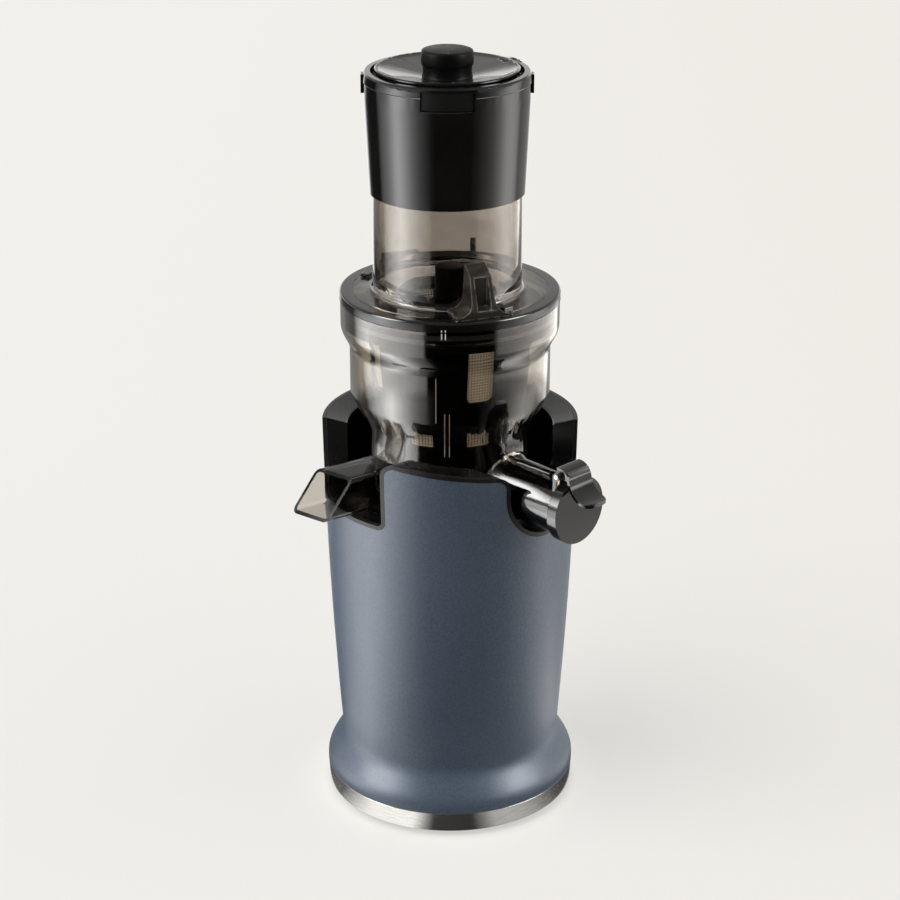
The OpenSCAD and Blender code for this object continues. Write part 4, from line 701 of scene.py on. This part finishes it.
def bent_round_cone(tree, given, sheet):
    """The flat sheet wrapped round a cone, from its foot radius to its top radius."""
    flat = split(tree, tree.nodes.new("GeometryNodeInputPosition").outputs[0])
    foot_r, top_r = given.outputs["Foot Radius"], given.outputs["Top Radius"]
    share = math_node(tree, "ADD", math_node(tree, "DIVIDE", flat["Y"], given.outputs["Height"]), 0.5)
    mean_r = math_node(tree, "MULTIPLY", math_node(tree, "ADD", foot_r, top_r), 0.5)
    radius = math_node(tree, "ADD", spread(tree, share, 0.0, 1.0, foot_r, top_r), flat["Z"])
    turn = math_node(tree, "DIVIDE", flat["X"], mean_r)
    forward = math_node(tree, "MULTIPLY", radius, math_node(tree, "COSINE", turn))
    bent = join(tree, X=math_node(tree, "MULTIPLY", radius, math_node(tree, "SINE", turn)),
                Y=math_node(tree, "MULTIPLY", forward, -1.0),
                Z=math_node(tree, "ADD", given.outputs["Foot Height"],
                            math_node(tree, "MULTIPLY", share, given.outputs["Height"])))
    curved = tree.nodes.new("GeometryNodeSetPosition")
    tree.links.new(sheet, curved.inputs["Geometry"])
    tree.links.new(bent, curved.inputs["Position"])
    return curved.outputs["Geometry"]


def make_pane_tree():
    """A ring of perforated panes that follow a cone."""
    tree, given, out = new_group(
        "perforated_panes",
        [("Geometry", "NodeSocketGeometry", None), ("Count", "NodeSocketInt", 4),
         ("Start Angle", "NodeSocketFloat", 0.0),
         ("Columns", "NodeSocketInt", 10), ("Rows", "NodeSocketInt", 10),
         ("Width", "NodeSocketFloat", 0.02), ("Height", "NodeSocketFloat", 0.02),
         ("Foot Height", "NodeSocketFloat", 0.2), ("Foot Radius", "NodeSocketFloat", 0.05),
         ("Top Radius", "NodeSocketFloat", 0.05), ("Opening", "NodeSocketFloat", 0.6),
         ("Thickness", "NodeSocketFloat", 0.0005), ("Material", "NodeSocketMaterial", None)],
        [("Geometry", "NodeSocketGeometry")],
        "GeometryNodeTree",
    )
    pane = bent_round_cone(tree, given, perforated_sheet(tree, given))
    place_copies(tree, given, out, pane, *copy_points(tree, given))
    return tree


def join_meshes(name, meshes):
    bm = bmesh.new()
    for mesh in meshes:
        bm.from_mesh(mesh)
    return mesh_from(bm, name)


def strainer_panes():
    tree = make_pane_tree()
    panes = []
    for count, sill, width, height in (
        (WINDOWS // 2, TALL_SILL_Z, TALL_WINDOW_W, TALL_WINDOW_H),
        (WINDOWS, LOW_SILL_Z, LOW_WINDOW_W, LOW_WINDOW_H),
    ):
        foot, top = sill - PANE_LAP, sill + height + PANE_LAP
        wide = width + 2 * PANE_LAP
        panes.append(grown_mesh(
            tree, "strainer_pane", Count=count, Start_Angle=FULL_TURN / WINDOWS / 2,
            Columns=round(wide / MESH_PITCH), Rows=round((top - foot) / MESH_PITCH),
            Width=wide * MM, Height=(top - foot) * MM, Foot_Height=foot * MM,
            Foot_Radius=(strainer_radius(foot) - STRAINER_WALL - MESH_T) * MM,
            Top_Radius=(strainer_radius(top) - STRAINER_WALL - MESH_T) * MM,
            Opening=MESH_OPENING, Thickness=MESH_T * MM * MESH_FILL, Material=FINISHES["mesh_tan"],
        ))
    mesh = join_meshes("strainer_panes", panes)
    return add_piece("strainer_panes", mesh, "bowl", "mesh_tan", ("strainer_mesh",))


# ---------------------------------------------------------------- small parts that the solids leave out

MARK_AZIMUTHS = (-4.2, -2.3)
MARK_HALF_W = 0.32
MARK_IN, MARK_OUT = 0.8, 0.25
RIB_AZIMUTHS = (-3.6, -0.4)
RIB_LOW_Z, RIB_TOP_Z = 256.0, 284.0
SEAM_AZIMUTH = -7.8
GUIDE_R = TUBE_R - TUBE_WALL
# Blocks as azimuth in degrees, inner and outer radius, half width, lower and upper height, and the centre's x
GUIDE_RIB = (157, GUIDE_R - 2.2, GUIDE_R + 0.2, 1.8, LID_TOP_Z + 9.3, LID_TOP_Z + 18.7, TUBE_X)
LID_STOPS = (
    (-113, 55.0, 60.5, 3.2, LID_TOP_Z - 0.6, LID_TOP_Z + 2.2),
    (36, 56.5, 61.0, 3.4, LID_TOP_Z - 0.6, LID_TOP_Z + 3.2),
)
BOWL_RIBS = [(a, BOWL_LOW_IR - 1.4, BOWL_LOW_IR + 0.3, 0.22, RIB_LOW_Z, RIB_TOP_Z) for a in RIB_AZIMUTHS]
BOWL_SEAM = (SEAM_AZIMUTH, BOWL_UP_R - 0.6, BOWL_UP_R + 0.12, 0.09, BOWL_UP_LOW_Z, BOWL_UP_TOP_Z)
# How far the edges of these pieces are rounded, in mm
STOP_EDGE, MARK_EDGE, RIB_EDGE, SEAM_EDGE = 0.5, 0.12, 0.08, 0.03


def small_parts():
    # the rib inside the feed tube that the food slides along
    block_piece("tube_guide_rib", "lid", "smoke_clear", [GUIDE_RIB], finish="grip_smoke")
    block_piece("lid_stops", "lid", "gloss_black", LID_STOPS, STOP_EDGE)
    # the lines that show where lid and bowl lock
    for name, body, slot, r, z0, z1 in (
        ("bowl_mark", "bowl", "smoke_clear", BOWL_RIM_R, BOWL_RIM_Z - 4.2, BOWL_RIM_Z - 0.5),
        ("ring_mark", "lid", "gloss_black", LID_RING_R, BOWL_RIM_Z + 0.7, BOWL_RIM_Z + 2.0),
    ):
        marks = [(a, r - MARK_IN, r + MARK_OUT, MARK_HALF_W, z0, z1) for a in MARK_AZIMUTHS]
        block_piece(name, body, slot, marks, MARK_EDGE, "marking_pale")
    # the ribs take the pale finish as a painted highlight: two thin bright lines where light catches them
    block_piece("bowl_ribs", "bowl", "smoke_clear", BOWL_RIBS, RIB_EDGE, "marking_pale")
    block_piece("bowl_seam", "bowl", "smoke_clear", [BOWL_SEAM], SEAM_EDGE, "marking_pale")


# ---------------------------------------------------------------- base screws

SCREW_AROUND = 32
SCREW_SOFT_R, SCREW_SOFT_H = 0.85, 0.25
SCREW_SUNK = 0.05
CROSS_ARM = (0.0036, 0.0008, 0.0024)


def cross_head():
    """A flat screw head with a cross recess, upside down as it sits under the base."""
    bm = bmesh.new()
    profile = ((0.0, 0.0), (BASE_SCREW_R * SCREW_SOFT_R, 0.0), (BASE_SCREW_R, SCREW_SOFT_H),
               (BASE_SCREW_R, BASE_SCREW_H), (0.0, BASE_SCREW_H))
    rings = []
    for r, z in profile:
        around = SCREW_AROUND if r else 1
        turns = [FULL_TURN * i / around for i in range(around)]
        rings.append([bm.verts.new(Vector((r * math.cos(a), r * math.sin(a), z)) * MM) for a in turns])
    for low, high in zip(rings, rings[1:]):
        for i in range(SCREW_AROUND):
            j = (i + 1) % SCREW_AROUND
            corners = [low[i % len(low)], low[j % len(low)], high[j % len(high)], high[i % len(high)]]
            unique = list(dict.fromkeys(corners))
            if len(unique) > 2:
                bm.faces.new(unique)
    bmesh.ops.recalc_face_normals(bm, faces=bm.faces)
    head = mesh_from(bm, "screw_head")
    cutter = bmesh.new()
    for turn in (0, 90):
        arm = bmesh.ops.create_cube(cutter, size=1.0)["verts"]
        bmesh.ops.scale(cutter, vec=CROSS_ARM, verts=arm)
        turned = Matrix.Rotation(math.radians(turn), 3, "Z")
        bmesh.ops.rotate(cutter, cent=(0, 0, 0), matrix=turned, verts=arm)
    holder, tool = temporary(head), temporary(mesh_from(cutter, "screw_cross"))
    cut = holder.modifiers.new("recess", "BOOLEAN")
    cut.operation = "DIFFERENCE"
    cut.solver = "EXACT"
    cut.use_self = True
    cut.object = tool
    bpy.context.view_layer.update()
    result = evaluated_mesh(holder, "screw_head_cut")
    bpy.data.objects.remove(holder)
    bpy.data.objects.remove(tool)
    return result


def make_ring_tree():
    """Copies of one object, evenly round the Z axis."""
    tree, given, out = new_group(
        "ring_of_copies",
        [("Geometry", "NodeSocketGeometry", None), ("Piece", "NodeSocketObject", None),
         ("Count", "NodeSocketInt", 4), ("Ring Radius", "NodeSocketFloat", 0.06),
         ("Start Angle", "NodeSocketFloat", 0.0), ("Height", "NodeSocketFloat", 0.0),
         ("Material", "NodeSocketMaterial", None)],
        [("Geometry", "NodeSocketGeometry")],
        "GeometryNodeTree",
    )
    source = tree.nodes.new("GeometryNodeObjectInfo")
    tree.links.new(given.outputs["Piece"], source.inputs["Object"])
    spots, angle = copy_points(tree, given)
    radius = given.outputs["Ring Radius"]
    spot = join(tree, X=math_node(tree, "MULTIPLY", radius, math_node(tree, "COSINE", angle)),
                Y=math_node(tree, "MULTIPLY", radius, math_node(tree, "SINE", angle)),
                Z=given.outputs["Height"])
    tree.links.new(spot, spots.inputs["Position"])
    place_copies(tree, given, out, source.outputs["Geometry"], spots, angle)
    return tree


def base_screw_heads():
    head = temporary(cross_head())
    mesh = grown_mesh(make_ring_tree(), "base_screw_heads", Piece=head, Count=BASE_SCREWS,
                      Ring_Radius=BASE_SCREW_RING_R * MM, Start_Angle=FULL_TURN / BASE_SCREWS / 2,
                      Height=(BASE_SCREW_Z - SCREW_SUNK) * MM, Material=FINISHES["bright_steel"])
    bpy.data.objects.remove(head)
    return add_piece("base_screw_heads", mesh, "root", "bright_steel")


# ---------------------------------------------------------------- dressed solids

DRESSED = (
    # node, piece, edge width, segments, edge angle, and for some their own finish and how flat a face is
    ("base_band", "steel_band", 0.12, 2, 32),
    ("rubber_feet", "foot_pads", 0.8, 3, 32),
    ("housing_shell", "shell_skin", 0.3, 2, 34),
    ("housing_trim", "cut_out_trim", 0.55, 3, 34, "trim_black"),
    ("bowl_collar", "collar_skin", 0.7, 3, 34, "collar_black"),
    ("deck", "deck_skin", 0.4, 2, 34),
    ("switch_bezel", "bezel_skin", 0.6, 3, 32),
    ("power_rocker", "rocker_skin", 0.5, 3, 32),
    ("power_inlet", "inlet_skin", 0.5, 3, 32),
    ("bowl", "bowl_skin", 0.5, 3, 34, "bowl_smoke"),
    ("spout_rod", "spout_bead", 0.3, 2, 34, "bowl_smoke"),
    ("strainer_frame", "strainer_skin", 0.35, 2, 34),
    ("auger", "auger_skin", 0.3, 2, 38),
    ("juice_cap", "cap_skin", 0.45, 3, 32),
    ("bowl_lid", "lid_skin", 0.5, 3, 32),
    ("lid_ring", "ring_skin", 0.6, 3, 32),
    ("lid_grip", "grip_skin", 0.8, 4, 32, "grip_smoke"),
    ("hopper", "hopper_skin", 0.7, 4, 32),
    ("side_clips", "clip_skin", 0.3, 2, 32),
    ("hopper_lid", "hopper_lid_skin", 0.4, 3, 32, "lid_disc_black", 0.04),
    ("lid_knob", "knob_skin", 0.5, 3, 40, None, 0.04),
    ("hopper_latch", "latch_skin", 0.3, 2, 32, "latch_black"),
)


def dress_solids():
    for row in DRESSED:
        dress(*row)


# ---------------------------------------------------------------- studio

FLOOR_HALF = 9.0
FLOOR_Z = -0.0001
# painted light: the floor runs from a lighter tone on the left to a darker, warmer one on the right, as the
# key lamp falls from the left
FLOOR_FALLOFF_ACROSS = 0.45
FLOOR_LIT_LEFT = (0.888, 0.880, 0.850)
FLOOR_SHADED_RIGHT = (0.868, 0.846, 0.808)
# How much of the floor is its painted tone, the rest being its lit surface
FLOOR_PAINTED_SHARE = 0.62
REFLECTOR_R = 8.0
REFLECTOR_Z = 0.0004
RING_AROUND = 96
DOME_AROUND, DOME_UP = 48, 24
DOME_FOOT_Z = -0.01
WHITE = (1.0, 1.0, 1.0)
BLACK = (0.0, 0.0, 0.0)


def stage_object(name, mesh, material):
    thing = bpy.data.objects.new(name, mesh)
    bpy.context.scene.collection.objects.link(thing)
    mesh.materials.append(material)
    return thing


def seen_directly(tree):
    """One for what the camera sees, also through a clear wall."""
    path = tree.nodes.new("ShaderNodeLightPath")
    return math_node(tree, "MAXIMUM", path.outputs["Is Camera Ray"], path.outputs["Is Transmission Ray"])


def glow_shader(tree, colour, strength):
    glow = tree.nodes.new("ShaderNodeEmission")
    glow.inputs["Strength"].default_value = strength
    tree.links.new(colour, glow.inputs["Color"])
    return glow.outputs[0]


def mixed_shader(tree, amount, first, second):
    node = tree.nodes.new("ShaderNodeMixShader")
    for socket, source in zip(node.inputs, (amount, first, second)):
        tree.links.new(source, socket)
    return node.outputs[0]


def show(tree, shader):
    tree.links.new(shader, tree.nodes["Material Output"].inputs["Surface"])


def studio_floor():
    """Pale floor: a painted tone for what looks straight at it, lighter on the left and darker and warmer on
    the right as the light falls, over its lit surface so that shadows stay.
    """
    material, tree, shader = finish_base("floor_paper", {"Roughness": 0.9, "Specular IOR Level": 0.0})
    grain = place_group(tree, GRAIN, Grain_Scale=300.0, Drift_Scale=0.8)
    falloff_across = spread(tree, split(tree, place_of(tree))["X"], -FLOOR_FALLOFF_ACROSS, FLOOR_FALLOFF_ACROSS)
    tone = blend_colour(tree, falloff_across, FLOOR_LIT_LEFT, FLOOR_SHADED_RIGHT)
    tree.links.new(tone, shader.inputs["Base Color"])
    bump(tree, shader, grain.outputs["Height"], 0.00005)
    amount = math_node(tree, "MULTIPLY", seen_directly(tree), FLOOR_PAINTED_SHARE)
    show(tree, mixed_shader(tree, amount, shader.outputs[0], glow_shader(tree, tone, 1.0)))
    h, z = FLOOR_HALF, FLOOR_Z
    mesh = bpy.data.meshes.new("studio_floor")
    mesh.from_pydata([(-h, -h, z), (h, -h, z), (h, h, z), (-h, h, z)], [], [(0, 1, 2, 3)])
    return stage_object("studio_floor", mesh, material)


def azimuth_of(tree, place):
    """Azimuth in degrees from -180 to 180, counted from the front."""
    turn = math_node(tree, "ARCTAN2", place["X"], math_node(tree, "MULTIPLY", place["Y"], -1.0))
    return math_node(tree, "MULTIPLY", turn, math.degrees(1.0))


def tone_ramp(tree, value, stops, tone=WHITE):
    """A tone that runs through (value, brightness) stops."""
    low, high = stops[0][0], stops[-1][0]
    ramp = tree.nodes.new("ShaderNodeValToRGB")
    ramp.color_ramp.interpolation = "LINEAR"
    while len(ramp.color_ramp.elements) < len(stops):
        ramp.color_ramp.elements.new(0.5)
    for element, (at, level) in zip(ramp.color_ramp.elements, stops):
        element.position = (at - low) / (high - low)
        element.color = (*tint(tone, level), 1.0)
    tree.links.new(spread(tree, value, low, high), ramp.inputs["Fac"])
    return ramp.outputs["Color"]


def multiplied(tree, first, second):
    return vector_node(tree, "MULTIPLY", first, second)


# What the upright walls mirror, by azimuth in degrees: a broad panel, and narrower strips for the hopper
LOW_GLOW = 11.0
BROAD_STOPS = (
    (-180, 0.05), (-117, 0.05), (-111, 0.32), (-102, 0.65), (-94, 0.95), (-83, 0.88), (-70, 0.80),
    (-48, 0.58), (-34, 0.33), (-27, 0.22), (-25, 0.0), (46, 0.0), (51, 0.17), (76, 0.30), (100, 0.38),
    (128, 0.42), (146, 0.38), (154, 0.07), (180, 0.05),
)
HOPPER_STOPS = (
    (-180, 0.20), (-160, 0.26), (-154, 0.20), (-148, 0.03), (-138, 0.004), (-113, 0.004), (-108, 0.09),
    (-95, 0.28), (-89, 0.43), (-83, 0.66), (-78, 0.89), (-73, 1.0), (-68, 0.93), (-58, 0.60), (-49, 0.33),
    (-40, 0.16), (-31, 0.07), (-23, 0.015), (-17, 0.0), (33, 0.0), (44, 0.026), (57, 0.078), (67, 0.147),
    (77, 0.30), (88, 0.51), (94, 0.56), (104, 0.47), (113, 0.29), (120, 0.10), (152, 0.08), (166, 0.22),
    (180, 0.20),
)
# Distances from the drive axis in metres, between which the strips turn into the panel and back
SHELL_REACH = (0.5, 0.6)
SHELL_BROAD = 0.15
HOPPER_REACH = (1.03, 1.06)
CLEAR_WALL_GAIN = 1.5
# The glow's strength by distance from the drive axis, for the left and the right side
LOW_REACH_LEFT = ((0.0, 0.33), (0.2, 0.45), (0.45, 0.78), (0.6, 0.59), (1.5, 0.59))
LOW_REACH_RIGHT = ((0.0, 0.37), (0.2, 0.44), (0.5, 0.30), (0.64, 0.28), (0.72, 0.59), (1.5, 0.59))
LOW_WARM = (1.0, 0.98, 0.95)
SIDES_MEET = 0.02

# What the steel band mirrors, by azimuth
NEAR_GLOW = 1.5
NEAR_STOPS = (
    (-180, 0.1), (-90, 0.08), (-69, 0.12), (-58, 0.45), (-45, 0.9), (-20, 0.95), (-13, 0.30), (-9, 0.04),
    (12, 0.03), (18, 0.18), (24, 0.38), (32, 0.42), (46, 0.34), (56, 0.20), (66, 0.08), (76, 0.05),
    (180, 0.05),
)
NEAR_WARM = (1.0, 0.985, 0.95)
NEAR_IN_R, NEAR_R = 0.0835, 0.128

# What level and sloping faces mirror: the room by azimuth and height, and two softboxes
ROOM_GLOW = 1.6
ROOM_STOPS = ((-180, 1.0), (-110, 1.0), (-60, 0.7), (-20, 0.3), (30, 0.25), (70, 0.6), (110, 0.9), (180, 1.0))
ROOM_RISE = ((0.0, 1.0), (0.25, 1.0), (0.29, 0.6), (0.335, 0.58), (0.36, 0.36), (0.45, 0.36), (0.5, 0.5),
             (1.0, 0.45))
ROOM_WARM = (1.0, 0.985, 0.965)
BOX_GLOW = 20.0
BOX_STOPS = ((-180, 0.0), (-90, 0.0), (-80, 1.0), (-64, 1.0), (-50, 0.0), (52, 0.0), (64, 0.95), (80, 0.95),
             (92, 0.0), (180, 0.0))
BOX_RISE = ((0.0, 0.0), (0.14, 0.0), (0.24, 1.0), (0.62, 1.0), (0.76, 0.0), (1.0, 0.0))
# How much of a softbox is left in what has passed through a clear wall
BOX_THROUGH = 0.12


def glow_material(name):
    material = bpy.data.materials.new(name)
    material.use_nodes = True
    material.node_tree.nodes.remove(material.node_tree.nodes["Principled BSDF"])
    material.cycles.emission_sampling = "NONE"
    return material, material.node_tree


def reflector(name, mesh, material, shader):
    """Shows its glow to what has been mirrored at least once, also in a clear wall, and to nothing else."""
    tree = material.node_tree
    path = tree.nodes.new("ShaderNodeLightPath")
    was_mirrored = math_node(tree, "GREATER_THAN", path.outputs["Glossy Depth"], 0.5)
    nothing = tree.nodes.new("ShaderNodeBsdfTransparent").outputs[0]
    show(tree, mixed_shader(tree, was_mirrored, nothing, shader))
    thing = stage_object(name, mesh, material)
    thing.visible_camera = False
    thing.visible_diffuse = False
    thing.visible_shadow = False
    thing.visible_volume_scatter = False


def ring_mesh(name, r_in, r_out):
    bm = bmesh.new()
    turns = [FULL_TURN * i / RING_AROUND for i in range(RING_AROUND)]
    inner, outer = [[bm.verts.new((r * math.cos(a), r * math.sin(a), REFLECTOR_Z)) for a in turns]
                    for r in (r_in, r_out)]
    for i in range(RING_AROUND):
        j = (i + 1) % RING_AROUND
        bm.faces.new((inner[i], outer[i], outer[j], inner[j]))
    return mesh_from(bm, name)


def low_reflector():
    """Ring on the floor that holds the glow for the upright walls."""
    material, tree = glow_material("low_glow")
    place = split(tree, place_of(tree))
    reach = distance(tree, place)
    azimuth = azimuth_of(tree, place)
    falloff = blend_colour(tree, spread(tree, place["X"], -SIDES_MEET, SIDES_MEET),
                           tone_ramp(tree, reach, LOW_REACH_LEFT),
                           tone_ramp(tree, reach, LOW_REACH_RIGHT, LOW_WARM))
    broad = tone_ramp(tree, azimuth, BROAD_STOPS)
    strips = tone_ramp(tree, azimuth, HOPPER_STOPS)
    near = blend_colour(tree, spread(tree, reach, *SHELL_REACH, SHELL_BROAD, 1.0), strips, broad)
    far = blend_colour(tree, spread(tree, reach, *HOPPER_REACH), near, strips)
    first = glow_shader(tree, multiplied(tree, far, falloff), LOW_GLOW)
    again = glow_shader(tree, multiplied(tree, near, falloff), LOW_GLOW * CLEAR_WALL_GAIN)
    path = tree.nodes.new("ShaderNodeLightPath")
    through = math_node(tree, "MULTIPLY",
                        math_node(tree, "GREATER_THAN", path.outputs["Transmission Depth"], 0.5),
                        math_node(tree, "GREATER_THAN", reach, HOPPER_REACH[0]))
    reflector("low_reflector", ring_mesh("low_reflector", NEAR_R, REFLECTOR_R), material,
              mixed_shader(tree, through, first, again))


def near_reflector():
    """Narrow ring round the foot that holds the glow for the steel band."""
    material, tree = glow_material("near_glow")
    tone = tone_ramp(tree, azimuth_of(tree, split(tree, place_of(tree))), NEAR_STOPS, NEAR_WARM)
    reflector("near_reflector", ring_mesh("near_reflector", NEAR_IN_R, NEAR_R), material,
              glow_shader(tree, tone, NEAR_GLOW))


def high_reflector():
    """Dome that holds the room and the softboxes for what faces upwards."""
    bm = bmesh.new()
    bmesh.ops.create_uvsphere(bm, u_segments=DOME_AROUND, v_segments=DOME_UP, radius=REFLECTOR_R)
    bmesh.ops.delete(bm, geom=[v for v in bm.verts if v.co.z < DOME_FOOT_Z], context="VERTS")
    material, tree = glow_material("high_glow")
    place = split(tree, place_of(tree))
    azimuth = azimuth_of(tree, place)
    rise = math_node(tree, "DIVIDE", place["Z"], REFLECTOR_R)
    room = multiplied(tree, tone_ramp(tree, azimuth, ROOM_STOPS), tone_ramp(tree, rise, ROOM_RISE, ROOM_WARM))
    boxes = multiplied(tree, tone_ramp(tree, azimuth, BOX_STOPS), tone_ramp(tree, rise, BOX_RISE))
    path = tree.nodes.new("ShaderNodeLightPath")
    direct = spread(tree, path.outputs["Transmission Depth"], 0.0, 1.0, 1.0, BOX_THROUGH)
    boxes = blend_colour(tree, direct, BLACK, boxes)
    both = tree.nodes.new("ShaderNodeAddShader")
    tree.links.new(glow_shader(tree, room, ROOM_GLOW), both.inputs[0])
    tree.links.new(glow_shader(tree, boxes, BOX_GLOW), both.inputs[1])
    reflector("high_reflector", mesh_from(bm, "high_reflector"), material, both.outputs[0])


WORLD_LEVEL = 0.38
WORLD_SEEN = (0.882, 0.868, 0.835)
LAMPS = (
    # name, strength, azimuth, elevation, width in degrees, colour
    ("key_lamp", 1.9, -62, 52, 50, (1.0, 0.985, 0.96)),
    ("fill_lamp", 0.65, 75, 40, 70, (1.0, 0.97, 0.93)),
)


def lamp(name, strength, azimuth, elevation, width, colour):
    light = bpy.data.lights.new(name, "SUN")
    light.energy = strength
    light.angle = math.radians(width)
    light.color = colour
    holder = bpy.data.objects.new(name, light)
    a, e = math.radians(azimuth), math.radians(elevation)
    away = Vector((math.sin(a) * math.cos(e), -math.cos(a) * math.cos(e), math.sin(e)))
    holder.rotation_euler = away.to_track_quat("Z", "Y").to_euler()
    bpy.context.scene.collection.objects.link(holder)
    holder.visible_glossy = False


def studio_light():
    world = bpy.data.worlds.new("studio_room")
    bpy.context.scene.world = world
    world.use_nodes = True
    tree = world.node_tree
    level = blend_colour(tree, seen_directly(tree), tint(WHITE, WORLD_LEVEL), WORLD_SEEN)
    tree.links.new(level, tree.nodes["Background"].inputs["Color"])
    for row in LAMPS:
        lamp(*row)


CAMERA_LENS, CAMERA_SENSOR = 92.0, 36.0
CAMERA_PLACE = (0.0, -1.374, 0.8036)
CAMERA_TILT = 67.6584
CAMERA_FAR = 50.0


def studio_camera():
    data = bpy.data.cameras.new("studio_camera")
    data.lens = CAMERA_LENS
    data.sensor_width = CAMERA_SENSOR
    data.clip_end = CAMERA_FAR
    camera = bpy.data.objects.new("studio_camera", data)
    camera.location = CAMERA_PLACE
    camera.rotation_euler = (math.radians(CAMERA_TILT), 0.0, 0.0)
    bpy.context.scene.collection.objects.link(camera)
    bpy.context.scene.camera = camera


def build():
    bpy.context.scene.view_settings.view_transform = "Standard"
    paint_solids()
    dress_solids()
    strainer_panes()
    small_parts()
    base_screw_heads()
    studio_floor()
    low_reflector()
    near_reflector()
    high_reflector()
    studio_light()
    studio_camera()


build()
